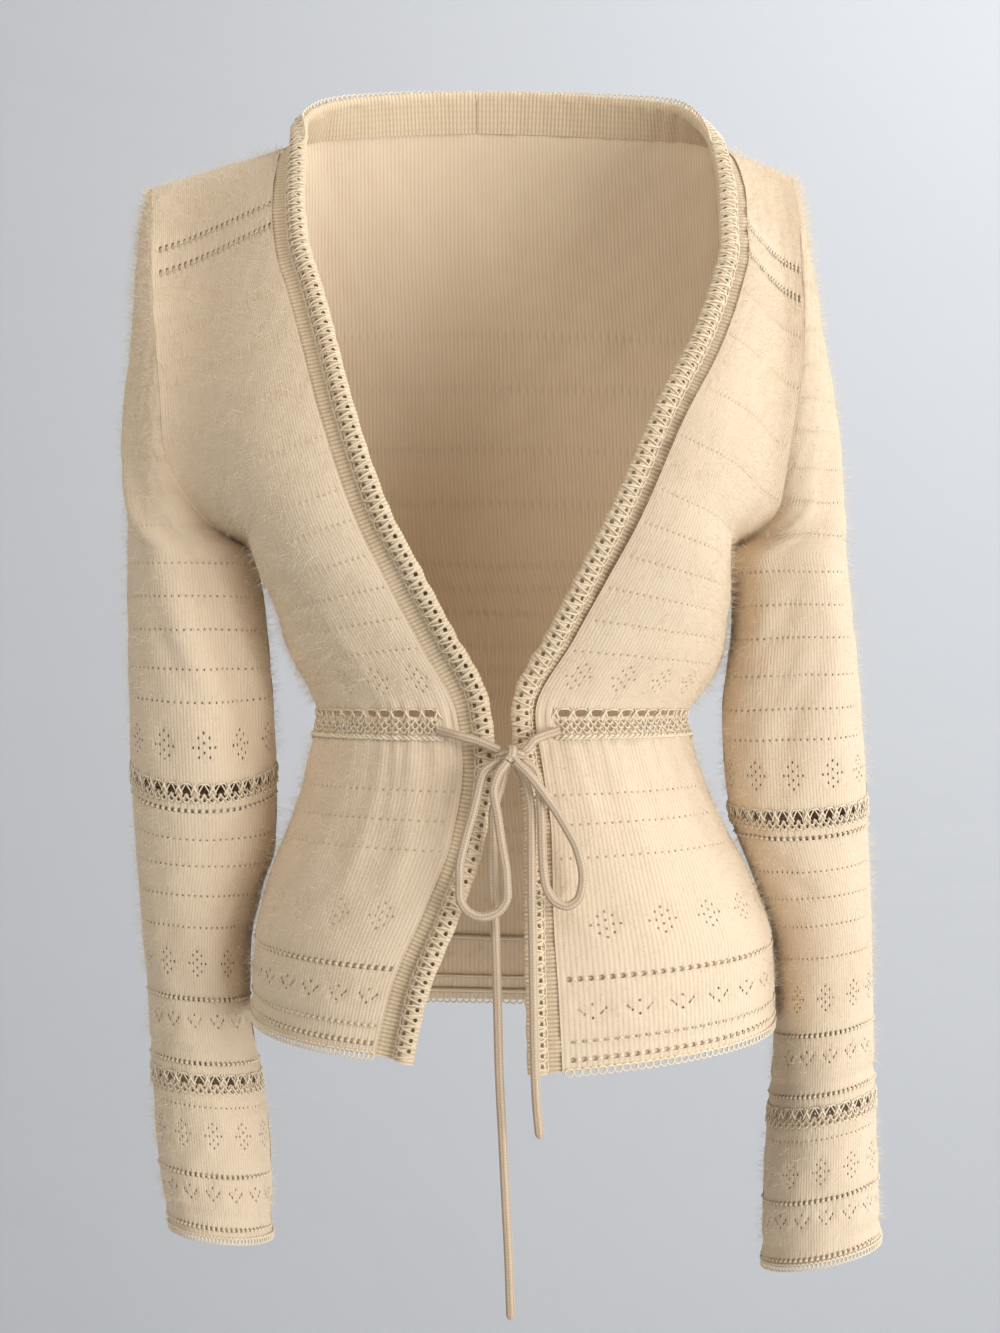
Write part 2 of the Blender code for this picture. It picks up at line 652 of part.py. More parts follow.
def build_band(side, material):
    """The band of one side, from the hem corner to the centre back neck."""
    along = band_stations(side)
    stations = len(along)
    place, free, out, width = band_frame(side, along)
    points, faces = [], []
    for row in range(stations):
        line = band_line(width[row])
        ahead = np.gradient(line, axis=0)
        ahead /= np.linalg.norm(ahead, axis=1, keepdims=True)
        normal = np.stack([-ahead[:, 1], ahead[:, 0]], -1)
        loop = np.vstack([line + normal * WALL / 2, (line - normal * WALL / 2)[::-1]])
        points.append(place[row] + loop[:, :1] * free[row] + loop[:, 1:] * out[row])
    ring = len(points[0])
    half = ring // 2
    for row in range(stations - 1):
        for k in range(ring):
            a, b = row * ring + k, row * ring + (k + 1) % ring
            faces += [(a, b, b + ring), (a, b + ring, a + ring)]
    last = (stations - 1) * ring
    for k in range(half - 1):
        a, b, c, d = k, k + 1, ring - 2 - k, ring - 1 - k
        faces += [(b, a, d), (b, d, c)]
        faces += [(last + a, last + b, last + c), (last + a, last + c, last + d)]
    return add_mesh("band_" + side, np.vstack(points), faces, material)


CORD = 2.2 * MM
CORD_LIFT = CORD + 0.35 * MM
KNOT_AT = np.array([6.6, -103.6, -365.6]) * MM
KNOT_HALF = np.array([6.0, 5.2, 5.0]) * MM
# Directions in which the stretches of the drawstring leave the knot.
LEAVE = {
    "tie_lead_right": (-0.90, 0.25, 0.35),
    "tie_lead_left": (0.90, 0.25, 0.35),
    "tie_loop_right": (-0.85, -0.30, -0.45),
    "tie_loop_left": (0.85, -0.30, -0.45),
    "tie_end_right": (-0.42, 0.25, -0.87),
    "tie_end_left": (0.45, 0.20, -0.87),
}
# Where a lead comes out of its panel: places across and up.
LEAD_EYELETS = {"tie_lead_right": ("front_right", 0.085, 0.962), "tie_lead_left": ("front_left", 0.085, 0.962)}
# The rest of each stretch, from the knot on, in millimetres.
CORD_PATHS = {
    "tie_lead_right": [(-12, -99.0, -358), (-23, -96.5, -355)],
    "tie_lead_left": [(19.5, -99.5, -357)],
    "tie_loop_right": [(-9, -108, -375), (-12, -109.5, -385), (-15, -110.5, -397),
                       (-19.5, -111.5, -413), (-22.5, -112, -429), (-22.5, -112, -443), (-18, -112.5, -452),
                       (-10, -113, -455), (-1, -113.5, -452), (4, -114, -443), (3.5, -114, -431),
                       (1, -113.5, -415), (-1.5, -113, -398), (-3.5, -112.5, -385), (-1.0, -112, -376),
                       (4.2, -110.6, -368.8)],
    "tie_loop_left": [(20, -108, -375), (22, -109.5, -385), (23, -110.5, -400),
                      (23.5, -112, -420), (25, -112.5, -436), (30, -113, -446), (37, -113, -449),
                      (44, -113, -444), (46, -113, -433), (43, -113, -418), (37, -113, -406),
                      (31, -113.5, -396), (24, -115, -386), (17, -114.5, -377), (8.8, -110.8, -368.9)],
    "tie_end_right": [(0, -103.5, -384), (-4.0, -105, -400), (-4, -106, -430),
                      (-2.5, -107, -465), (-1.5, -107, -500), (-0.5, -107, -540), (1.5, -107, -580),
                      (3.5, -107, -620), (5, -107, -650), (6, -107, -680)],
    "tie_end_left": [(15.5, -105.5, -384), (17.5, -108, -398), (17.5, -111, -416),
                     (17.5, -114, -440), (18, -116.5, -470), (18.5, -117.5, -500), (19, -118, -530),
                     (20, -118, -555), (22, -118, -577)],
}


def cord_path(name):
    """All places of a stretch, from the knot to its far end, in millimetres."""
    way = np.array(LEAVE[name]) / np.linalg.norm(LEAVE[name])
    reach = 1 / np.linalg.norm(way / KNOT_HALF)
    start = KNOT_AT + way * (reach + 0.65 * MM)
    places = [start / MM, start / MM + way * 2.5] + [np.array(place, float) for place in CORD_PATHS[name]]
    if name in LEAD_EYELETS:
        panel, across, level = LEAD_EYELETS[name]
        place, normal = surface(panel)
        at = (np.array([across]), np.array([level]))
        places.append((place(*at) + CORD_LIFT * normal(*at))[0] / MM)
    return places


def build_cord(name, path, material):
    """A round cord along one stretch, with closed ends."""
    curve = bpy.data.curves.new(name, "CURVE")
    curve.dimensions = "3D"
    curve.bevel_depth = CORD
    curve.bevel_resolution = 2
    curve.use_fill_caps = True
    knots = Table([Seam(x, y, z, 0, 0) for x, y, z in path])
    steps = max(4, int(round((knots.knots[-1]) / 13.0)))
    places = knots(np.linspace(0, knots.knots[-1], steps + 1))[:, :3] * MM
    line = curve.splines.new("POLY")
    line.points.add(len(places) - 1)
    for point, place in zip(line.points, places):
        point.co = (*place, 1.0)
    item = bpy.data.objects.new(name, curve)
    COLLECTION.objects.link(item)
    curve.materials.append(material)
    return item


def build_knot(material):
    """The knot of the bow: a small lump."""
    rings, sides = 8, 14
    points = [KNOT_AT + np.array([0, 0, KNOT_HALF[2]])]
    for ring in range(1, rings):
        tall = math.pi * ring / rings
        for k in range(sides):
            turn = 2 * math.pi * k / sides
            way = [math.sin(tall) * math.cos(turn), math.sin(tall) * math.sin(turn), math.cos(tall)]
            points.append(KNOT_AT + KNOT_HALF * np.array(way))
    points.append(KNOT_AT - np.array([0, 0, KNOT_HALF[2]]))
    faces = []
    for k in range(sides):
        nxt = (k + 1) % sides
        faces.append((0, 1 + k, 1 + nxt))
        for ring in range(rings - 2):
            a, b = 1 + ring * sides + k, 1 + ring * sides + nxt
            faces += [(a, a + sides, b + sides), (a, b + sides, b)]
        base = 1 + (rings - 2) * sides
        faces.append((base + k, len(points) - 1, base + nxt))
    return add_mesh("tie_knot", np.array(points), faces, material)


COLLECTION = bpy.data.collections.new("tie_front_cardigan")
bpy.context.scene.collection.children.link(COLLECTION)
KNIT = new_material("knit", (0.80, 0.66, 0.46, 1))
BAND_KNIT = new_material("band_knit", (0.77, 0.62, 0.43, 1))
TIE = new_material("tie_cord", (0.68, 0.54, 0.40, 1))

for half in ("right", "left"):
    rows, lace_rows = torso_lines(11, 0.0, 1.0, WAIST_HOLES_FRONT, 0.075, 0.985)
    build_wall("front_" + half, rows, lace_rows, KNIT)
back_rows, back_lace = torso_lines(2 * BACK_HALF_COLUMNS, -1.0, 1.0, WAIST_HOLES_BACK, -0.99, 0.99)
build_wall("back", back_rows, back_lace, KNIT)
for half in ("right", "left"):
    rows, lace_rows = whole_sleeve_lines(half)
    for face_name in ("front", "back"):
        build_wall("sleeve_" + half + "_" + face_name, rows, lace_rows, KNIT)
    build_band(half, BAND_KNIT)
for stretch in CORD_PATHS:
    build_cord(stretch, cord_path(stretch), TIE)
build_knot(TIE)
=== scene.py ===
"""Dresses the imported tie-front cardigan with knitted panels, silky lace, rolled bands, a bow and a halo.

Metres, +Z up, the front faces -Y, in the frame's own places. The tables and surfaces are the part's.
"""
import math
from collections import namedtuple
from functools import partial

import bpy
import numpy as np
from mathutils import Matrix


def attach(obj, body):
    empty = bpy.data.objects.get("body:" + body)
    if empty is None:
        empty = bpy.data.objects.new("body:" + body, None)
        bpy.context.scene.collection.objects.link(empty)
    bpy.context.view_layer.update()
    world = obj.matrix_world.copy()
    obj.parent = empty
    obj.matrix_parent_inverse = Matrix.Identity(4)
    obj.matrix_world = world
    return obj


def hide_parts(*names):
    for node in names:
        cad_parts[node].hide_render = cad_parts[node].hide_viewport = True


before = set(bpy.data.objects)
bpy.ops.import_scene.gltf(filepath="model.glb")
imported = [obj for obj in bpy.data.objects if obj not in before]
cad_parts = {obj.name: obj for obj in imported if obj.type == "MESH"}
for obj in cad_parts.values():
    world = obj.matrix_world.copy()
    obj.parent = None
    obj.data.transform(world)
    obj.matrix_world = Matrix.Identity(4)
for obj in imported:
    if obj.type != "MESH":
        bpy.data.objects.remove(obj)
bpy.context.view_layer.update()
RANDOM = np.random.default_rng(11)

MM = 0.001
WALL = 2.0 * MM

# Seam between a front and its band, from the hem corner up to the centre back neck, in millimetres.
# width is the band's width there, stand is how far it turns up from lying flat, in degrees.
Seam = namedtuple("Seam", "x y z width stand")
SEAM_RIGHT = [Seam(*row) for row in (
    (-70, -97, -534, 22, 0), (-60, -98, -494, 21, 0), (-42, -97, -452, 20, 0), (-27, -93, -412, 19, 0),
    (-21, -88, -372, 19, 0), (-25, -86, -342, 20, 0), (-45, -94, -303, 21, 0), (-64, -104, -267, 21, 0),
    (-82, -111, -230, 20, 0), (-100, -106, -177, 20, 0), (-111, -92, -137, 20, 0), (-120, -79, -105, 20, 2),
    (-129, -66, -75, 20, 5), (-132, -48, -43, 20, 12), (-131, -22, -15, 20, 25), (-129, 4, -4, 20, 40),
    (-112, 28, 6, 22, 60), (-75, 48, 13, 24, 78), (-40, 59, 16.8, 25, 83), (-15, 62, 18, 25, 85),
)]
SEAM_LEFT = [Seam(*row) for row in (
    (35, -102, -543, 20, 0), (33, -102, -503, 19, 0), (30, -99, -455, 17, 0), (29, -94, -410, 16, 0),
    (24, -88, -372, 15, 0), (20, -86, -343, 14, 0), (42, -95, -300, 16, 0), (60, -105, -267, 17, 0),
    (79, -111, -232, 18, 0), (103, -107, -177, 18, 0), (124, -92, -137, 18, 0), (136, -79, -105, 18, 2),
    (143, -66, -75, 18, 5), (143, -48, -43, 18, 12), (138, -22, -15, 18, 25), (131, 4, -4, 19, 40),
    (112, 28, 6, 22, 60), (62, 50, 13, 24, 78), (14, 60, 17, 25, 83), (-15, 62, 18, 25, 85),
)]
NECK_ROW = 15

# Body sections from the hem up to the underarm: side seams and centre back, in millimetres.
Body = namedtuple("Body", "z right_side left_side back_x back_y")
BODY = [Body(*row) for row in (
    (-545, -148, 164, 8, 106), (-516, -148, 164, 8, 105), (-474, -146, 162, 8, 101),
    (-444, -139, 151, 6, 93), (-396, -121, 127, 3, 77), (-360, -112, 114, 2, 69), (-345, -109, 111, 1, 68),
    (-330, -114, 122, 3, 71), (-310, -125, 133, 3, 76), (-282, -134, 136, 1, 81), (-248, -148, 134, -7, 85),
    (-200, -160, 140, -10, 89), (-150, -170, 150, -12, 90), (-100, -180, 160, -13, 86),
    (-50, -190, 165, -15, 77), (18, -209, 175, -15, 62),
)]

# Sleeve sections from the shoulder tip to the cuff, in millimetres and degrees.
# seam is the armhole down to the underarm, then the underarm line. turn is the arc from outer line to seam.
Sleeve = namedtuple("Sleeve", "z seam outer mid_y front back turn")
SLEEVE_RIGHT = [Sleeve(*row) for row in (
    (-28, -209, -209.5, 6, 1, 1, 60), (-34, -208, -212.5, 6, 13, 13, 60), (-55, -206, -216, 6, 30, 36, 62),
    (-85, -204, -218, 5, 46, 52, 66), (-116, -201, -219, 4, 54, 60, 72), (-156, -197, -220, 3, 56, 60, 82),
    (-186, -195, -221, 2, 54, 56, 95), (-211, -186, -222, 1, 51, 52, 112),
    (-235, -167, -222.5, 0, 50, 50, 143), (-248, -148.5, -223, 0, 49, 49, 180),
    (-276, -142, -223, 2, 49, 48, 180), (-330, -137.5, -223, 6, 46, 46, 180),
    (-376, -135, -222, 8, 44, 44, 180), (-420, -136, -220, 12, 43, 43, 180),
    (-450, -144.5, -218, 14, 43, 43, 180), (-480, -151, -216, 16, 42, 42, 180),
    (-516, -152, -213, 18, 40, 40, 180), (-560, -145, -211, 18, 38, 38, 180),
    (-612, -139, -207, 16, 36, 36, 180), (-655, -138, -200, 14, 34, 34, 180),
)]
SLEEVE_LEFT = [Sleeve(*row) for row in (
    (-21, 175, 175.5, 6, 1, 1, 60), (-28, 175.5, 178.5, 6, 13, 13, 60), (-55, 178, 183, 6, 30, 36, 62),
    (-96, 178, 189, 5, 48, 54, 68), (-126, 177, 193, 4, 54, 60, 74), (-156, 174, 198, 3, 56, 60, 82),
    (-190, 168, 201.5, 2, 54, 56, 97), (-222, 163, 204, 1, 51, 52, 118), (-236, 153, 205.5, 0, 50, 50, 143),
    (-251, 134.5, 207, 0, 49, 49, 180), (-270, 138.8, 209, 1, 49, 48, 180),
    (-288, 139.5, 211, 2, 48, 48, 180), (-312, 137, 214, 4, 47, 47, 180), (-343, 134, 217, 6, 45, 45, 180),
    (-398, 138, 221, 9, 43, 43, 180), (-430, 149.5, 222.5, 12, 43, 43, 180),
    (-450, 157, 223.5, 13, 42, 42, 180), (-480, 166, 224.5, 15, 42, 42, 180),
    (-516, 167.5, 225.5, 17, 41, 41, 180), (-578, 163, 227, 17, 40, 40, 180),
    (-620, 160, 228.5, 16, 39, 39, 180), (-668, 159, 230, 15, 38, 38, 180),
)]

# Folds and creases: a soft ridge (rise > 0) or trough along a line from one place to the other.
# Places are (fraction across, height in millimetres), wide is the half width as a fraction across,
# fade is how far it runs out past its ends. The first rows of a panel are the part's own main folds.
Fold = namedtuple("Fold", "across_0 z_0 across_1 z_1 rise wide fade")
FOLD_ROWS = {
    "sleeve_right_front": (
        (0.70, -170, 0.42, -350, 4.0, 0.12, 40), (0.45, -270, 0.24, -345, -4.5, 0.11, 30),
        (0.50, -455, 0.30, -510, 2.5, 0.16, 30), (0.86, -120, 0.62, -215, 1.6, 0.07, 30),
        (0.30, -285, 0.12, -335, 1.8, 0.06, 18), (0.62, -300, 0.36, -362, -1.6, 0.06, 16),
        (0.20, -400, 0.50, -440, -1.3, 0.08, 20), (0.75, -470, 0.55, -540, 1.2, 0.09, 24),
        (0.25, -580, 0.55, -630, -1.0, 0.08, 20),
    ),
    "sleeve_left_front": (
        (0.48, -230, 0.42, -340, -4.5, 0.13, 40), (0.74, -210, 0.68, -350, 3.0, 0.13, 40),
        (0.50, -470, 0.34, -530, 2.5, 0.16, 30), (0.86, -110, 0.64, -205, 1.6, 0.07, 30),
        (0.28, -290, 0.14, -350, 1.8, 0.06, 18), (0.60, -310, 0.38, -378, -1.6, 0.06, 16),
        (0.22, -425, 0.50, -460, -1.3, 0.08, 20), (0.72, -480, 0.52, -550, 1.2, 0.09, 24),
        (0.25, -600, 0.55, -645, -1.0, 0.08, 20),
    ),
    "sleeve_right_back": (
        (0.55, -270, 0.35, -340, -3.0, 0.16, 40), (0.30, -290, 0.62, -350, 1.8, 0.08, 22),
        (0.25, -420, 0.60, -470, -1.6, 0.09, 24), (0.70, -150, 0.45, -240, 1.6, 0.09, 30),
    ),
    "sleeve_left_back": (
        (0.55, -270, 0.35, -340, -3.0, 0.16, 40), (0.30, -300, 0.62, -365, 1.8, 0.08, 22),
        (0.25, -440, 0.60, -490, -1.6, 0.09, 24), (0.70, -150, 0.45, -240, 1.6, 0.09, 30),
    ),
    "front_right": (
        (0.20, -370, 0.16, -420, 2.4, 0.05, 22), (0.33, -370, 0.34, -420, 2.2, 0.05, 22),
        (0.47, -370, 0.52, -420, 1.8, 0.06, 22), (0.42, -225, 0.46, -190, 10.0, 0.34, 62),
        (0.10, -358, 0.08, -400, 1.3, 0.028, 14), (0.265, -358, 0.25, -395, 1.3, 0.030, 14),
        (0.40, -358, 0.42, -395, 1.2, 0.030, 14), (0.62, -358, 0.68, -400, 1.2, 0.035, 16),
        (0.78, -240, 0.95, -268, -2.2, 0.07, 16), (0.62, -232, 0.80, -262, 1.4, 0.06, 16),
        (0.30, -330, 0.36, -290, 1.0, 0.05, 14), (0.60, -330, 0.64, -295, 1.0, 0.05, 14),
    ),
    "front_left": (
        (0.30, -370, 0.34, -415, 1.6, 0.07, 22), (0.55, -370, 0.60, -420, 1.6, 0.07, 22),
        (0.40, -225, 0.44, -190, 10.0, 0.34, 62), (0.14, -358, 0.16, -395, 1.1, 0.030, 14),
        (0.42, -358, 0.46, -392, 1.0, 0.032, 14), (0.70, -358, 0.76, -398, 1.2, 0.035, 16),
        (0.78, -244, 0.95, -272, -2.2, 0.07, 16), (0.62, -236, 0.80, -266, 1.4, 0.06, 16),
        (0.34, -330, 0.40, -290, 1.0, 0.05, 14),
    ),
    "back": (
        (-0.78, -358, -0.84, -410, 1.5, 0.03, 18), (-0.55, -358, -0.60, -410, 1.6, 0.03, 18),
        (-0.32, -358, -0.35, -405, 1.5, 0.03, 18), (-0.10, -358, -0.11, -405, 1.5, 0.03, 18),
        (0.12, -358, 0.13, -405, 1.5, 0.03, 18), (0.34, -358, 0.37, -405, 1.5, 0.03, 18),
        (0.57, -358, 0.62, -410, 1.6, 0.03, 18), (0.80, -358, 0.86, -410, 1.5, 0.03, 18),
        (-0.90, -235, -0.45, -130, 2.6, 0.08, 30), (0.90, -235, 0.45, -130, 2.6, 0.08, 30),
        (-0.40, -325, -0.30, -270, 1.6, 0.05, 22), (0.40, -325, 0.30, -270, 1.6, 0.05, 22),
    ),
}
FOLDS = {name: [Fold(*row) for row in rows] for name, rows in FOLD_ROWS.items()}

WAIST_LOW = -345 * MM
WAIST_BACK = -372 * MM
DIP_REACH = 45 * MM
LACE_TALL = 0.042
YOKE_EDGE = -215 * MM
YOKE_BACK = -250 * MM
HEM_BACK = -530 * MM
CLIMB_POWER = 1.5


def unit(ways):
    """Directions of length one."""
    return ways / np.maximum(np.linalg.norm(ways, axis=-1, keepdims=True), 1e-12)


def bell(far):
    """A smooth bump: 1 at 0, and almost nothing from 2 on."""
    return np.exp(-far ** 2)


def ease(share):
    """A smooth way from 0 to 1."""
    return share * share * (3 - 2 * share)


def lengths_along(points):
    """How far along a line of points each of them lies."""
    steps = np.linalg.norm(np.diff(points, axis=0), axis=1)
    return np.concatenate([[0], np.cumsum(steps)])


def slopes(knots, values):
    """Slopes of a smooth curve through the table that never overshoots it."""
    step = np.diff(knots)[:, None]
    rise = np.diff(values, axis=0) / step
    inner = np.zeros_like(rise[1:])
    agree = rise[1:] * rise[:-1] > 0
    inner[agree] = (2 * rise[1:] * rise[:-1])[agree] / (rise[1:] + rise[:-1])[agree]
    return np.vstack([rise[:1], inner, rise[-1:]])


class Table:
    """A table read as smooth curves: call it with a key to get every other column there."""

    def __init__(self, rows, key=None):
        data = np.array(rows, float)
        if key is None:
            knots = lengths_along(data[:, :3])
        else:
            knots = data[:, rows[0]._fields.index(key)]
        order = np.argsort(knots)
        self.knots = knots[order]
        self.data = data[order]
        self.slope = slopes(self.knots, self.data)

    def __call__(self, at):
        at = np.clip(np.asarray(at, float), self.knots[0], self.knots[-1])
        low = np.clip(np.searchsorted(self.knots, at, "right") - 1, 0, len(self.knots) - 2)
        step = self.knots[low + 1] - self.knots[low]
        t = ((at - self.knots[low]) / step)[..., None]
        step = step[..., None]
        rows = self.data
        return ((1 + 2 * t) * (1 - t) ** 2 * rows[low] + t * (1 - t) ** 2 * step * self.slope[low]
                + t * t * (3 - 2 * t) * rows[low + 1] + t * t * (t - 1) * step * self.slope[low + 1])


BODY_AT = Table(BODY, "z")
SIDES = {
    "right": dict(rows=SEAM_RIGHT, rings=SLEEVE_RIGHT, side_column=1, hem_side=-521, pit=-248, tip=-28,
                  cuff_tilt=8, dip=12, elbow=-376, neck_share=7 / 11),
    "left": dict(rows=SEAM_LEFT, rings=SLEEVE_LEFT, side_column=2, hem_side=-526, pit=-251, tip=-21,
                 cuff_tilt=16, dip=5, elbow=-398, neck_share=9 / 11),
}
for data in SIDES.values():
    data["seam"] = Table(data["rows"])
    data["edge"] = Table(data["rows"][:NECK_ROW + 1], "z")
    data["sleeve"] = Table(data["rings"], "z")


def edge_point(side, z):
    """Place on the seam of a front with its band at a height in metres."""
    return SIDES[side]["edge"](z / MM)[..., :3] * MM


def side_point(side, z):
    """Place on the side seam at a height in metres."""
    row = BODY_AT(z / MM)
    x = row[..., SIDES[side]["side_column"]]
    return np.stack([x, np.zeros_like(x), z / MM], -1) * MM


def back_point(z):
    """Place on the centre back line at a height in metres."""
    row = BODY_AT(z / MM)
    return np.stack([row[..., 3], row[..., 4], z / MM], -1) * MM


def armhole_point(side, z, face):
    """Place on the armhole at a height in metres, face -1 in front and +1 behind."""
    row = SIDES[side]["sleeve"](z / MM)
    turn = np.radians(row[..., 6])
    deep = row[..., 4] if face < 0 else row[..., 5]
    return np.stack([row[..., 1], row[..., 3] + face * deep * np.sin(turn), z / MM], -1) * MM


def quarter(start, end, across):
    """Quarter ellipse from start, where it runs along X, to end, where it runs along Y."""
    angle = across * math.pi / 2
    share = np.stack([np.sin(angle), 1 - np.cos(angle), across], -1)
    return start + (end - start) * share


def fold_rise(folds, across, height):
    """Height of the given folds at places on a panel."""
    total = np.zeros(np.broadcast(across, height).shape)
    for fold in folds:
        z_0, z_1 = fold.z_0 * MM, fold.z_1 * MM
        along = np.clip((height - z_0) / (z_1 - z_0), 0, 1)
        line = fold.across_0 + (fold.across_1 - fold.across_0) * along
        beyond = np.maximum(np.maximum(height - max(z_0, z_1), min(z_0, z_1) - height), 0)
        total = total + fold.rise * MM * bell((across - line) / fold.wide) * bell(beyond / (fold.fade * MM))
    return total


def torso(side, face, across, level):
    """Half of the body on one side, front (face -1) or back (face +1).

    across runs from the front edge or centre back (0) to the side seam or armhole (1).
    level is 0 at the hem, 1 at the waist, 2 at the underarm and 3 at the shoulder.
    """
    data = SIDES[side]
    rows = data["rows"]
    across, level = np.broadcast_arrays(np.asarray(across, float), np.asarray(level, float))
    pit, tip, hem_side = data["pit"] * MM, data["tip"] * MM, data["hem_side"] * MM
    if face < 0:
        middle = partial(edge_point, side)
        hem_mid, waist_mid, yoke_mid, top_mid = rows[0].z * MM, WAIST_LOW, YOKE_EDGE, rows[NECK_ROW].z * MM
    else:
        middle = back_point
        hem_mid, waist_mid, yoke_mid, top_mid = HEM_BACK, WAIST_BACK, YOKE_BACK, rows[-1].z * MM
    low = np.clip(level, 0, 2)
    z_mid = np.interp(low, [0, 1, 2], [hem_mid, waist_mid, yoke_mid])
    z_side = np.interp(low, [0, 1, 2], [hem_side, WAIST_LOW, pit])
    place = quarter(middle(z_mid), side_point(side, z_side), across)
    rise = np.clip(level - 2, 0, 1)
    climb = 1 - (1 - rise) ** CLIMB_POWER
    mid_up = middle(yoke_mid + (top_mid - yoke_mid) * climb)
    arm_up = armhole_point(side, pit + (tip - pit) * climb, face)
    tip_at = armhole_point(side, np.array(tip), face)
    if face < 0:
        mid_top = middle(np.array(top_mid))
        top = mid_top + (tip_at - mid_top) * across[..., None]
    else:
        seam, share = data["seam"], data["neck_share"]
        neck_at = seam.knots[NECK_ROW]
        along = seam.knots[-1] + (neck_at - seam.knots[-1]) * np.clip(across / share, 0, 1)
        neck = seam(along)[..., :3] * MM
        out = np.clip((across - share) / (1 - share), 0, 1)[..., None]
        corner = seam(np.array(neck_at))[..., :3] * MM
        top = np.where(out > 0, corner + (tip_at - corner) * out, neck)
        mid_top = seam(np.array(seam.knots[-1]))[..., :3] * MM
    blend = ease(rise)[..., None]
    across_3 = across[..., None]
    near_arm = np.stack([across ** 3, across ** 3, across], -1)
    pit_at = side_point(side, np.array(pit))
    mid_low = middle(np.array(yoke_mid))
    upper = ((1 - blend) * place + blend * top
             + (1 - across_3) * (mid_up - (1 - blend) * mid_low - blend * mid_top)
             + near_arm * (arm_up - (1 - blend) * pit_at - blend * tip_at))
    return np.where((level > 2)[..., None], upper, place)


def sleeve(side, face, across, level):
    """Half of a sleeve: across from the armhole or underarm line (0) to the outer line (1).

    level is 0 at the shoulder tip and 1 at the cuff. The rows dip in front of the elbow.
    """
    data = SIDES[side]
    across, level = np.broadcast_arrays(np.asarray(across, float), np.asarray(level, float))
    tip, pit = data["tip"] * MM, data["pit"] * MM
    cuff = data["rings"][-1].z * MM
    z = tip + (cuff - tip) * level
    row = data["sleeve"](z / MM)
    seam, outer, mid_y = row[..., 1], row[..., 2], row[..., 3]
    deep = row[..., 4] if face < 0 else row[..., 5]
    turn = np.radians(row[..., 6])
    angle = turn * (1 - across)
    reach = (seam - outer) / (1 - np.cos(turn))
    x = outer + reach * (1 - np.cos(angle))
    y = mid_y + face * deep * np.sin(angle)
    fall = np.clip((pit - z) / (pit - cuff), 0, 1) * data["cuff_tilt"] * MM
    inward = (1 - np.cos(angle)) / 2
    dip = 0.0
    if face < 0:
        dip = data["dip"] * MM * np.sin(math.pi * across) * bell((z - data["elbow"] * MM) / DIP_REACH)
    return np.stack([x * MM, y * MM, z - fall * (inward - 0.5) - dip], -1)


SEAM_DEEP = 0.6 * MM
SEAM_EASE = 20 * MM
SEAM_SHARE = 0.045
GATHER = 0.8 * MM
GATHERS = 15
GATHER_SWAYS = {9: 0.45, 23: 0.3}
GATHER_DOWN, GATHER_UP = 0.11, 0.05
GATHER_EDGE = 12
SEAM_FADE, SEAM_TOP = 0.15, 0.1
SMALL_STEP = 2e-3
# The back is eased over its centre and its shoulder blades: steps across and their weights.
EASE_REACH = 0.035
EASE_TOP = 0.15
EASE_WEIGHTS = {-3: 0.04, -2: 0.11, -1: 0.21, 0: 0.28, 1: 0.21, 2: 0.11, 3: 0.04}


def surface(name):
    """A function from places across and up a named panel to its points and outward directions."""
    kind, side = name.split("_")[0], name.split("_")[-1]
    if kind == "front":
        def plain(across, level):
            return torso(side, -1, across, level)
    elif kind == "back":
        def plain(across, level):
            reach = np.minimum(EASE_REACH, (1 - np.abs(across)) / 3) * np.clip((3 - level) / EASE_TOP, 0, 1)
            points = 0
            for step, weight in EASE_WEIGHTS.items():
                near = across + step * reach
                right = torso("right", 1, np.abs(near), level)
                left = torso("left", 1, np.abs(near), level)
                points = points + weight * np.where((near < 0)[..., None], right, left)
            return points
    else:
        face = -1 if side == "front" else 1
        arm = name.split("_")[1]

        def plain(across, level):
            return sleeve(arm, face, across, level)

    def turned(across, level):
        low, high = (-1, 1) if kind == "back" else (0, 1)
        top = 1 if kind == "sleeve" else 3
        right, left = np.minimum(across + SMALL_STEP, high), np.maximum(across - SMALL_STEP, low)
        above, below = np.minimum(level + SMALL_STEP, top), np.maximum(level - SMALL_STEP, 0)
        run = plain(right, level) - plain(left, level)
        climb = plain(across, above) - plain(across, below)
        return unit(np.cross(run, climb))

    hint = -1.0 if kind == "front" or side == "front" else 1.0
    facing = np.sign(turned(np.array([0.5]), np.array([0.5]))[0, 1] * hint)

    def place(across, level):
        base = plain(across, level)
        out = turned(across, level) * facing
        rise = fold_rise(FOLDS[name], across, base[..., 2])
        if kind == "sleeve":
            above = np.clip((base[..., 2] - SIDES[arm]["pit"] * MM) / SEAM_EASE, 0, 1)
            rise = rise - SEAM_DEEP * above * bell(across / SEAM_SHARE)
        else:
            in_from_edge = 1 - np.abs(across)
            above = np.clip((level - 2) / SEAM_FADE, 0, 1) * np.clip((3 - level) / SEAM_TOP, 0, 1)
            rise = rise - SEAM_DEEP * above * bell(in_from_edge / SEAM_SHARE)
            fade = np.exp(-np.where(level < 1, (1 - level) / GATHER_DOWN, (level - 1) / GATHER_UP))
            waves = GATHERS * across
            for turns, share in GATHER_SWAYS.items():
                waves = waves + share * np.sin(turns * across)
            fade = fade * np.clip(in_from_edge * GATHER_EDGE, 0, 1)
            rise = rise + GATHER * fade * np.sin(2 * math.pi * waves)
        return base + rise[..., None] * out, out

    return place


NECK_MIDDLE = np.array([-0.015, -0.010, 0.0])


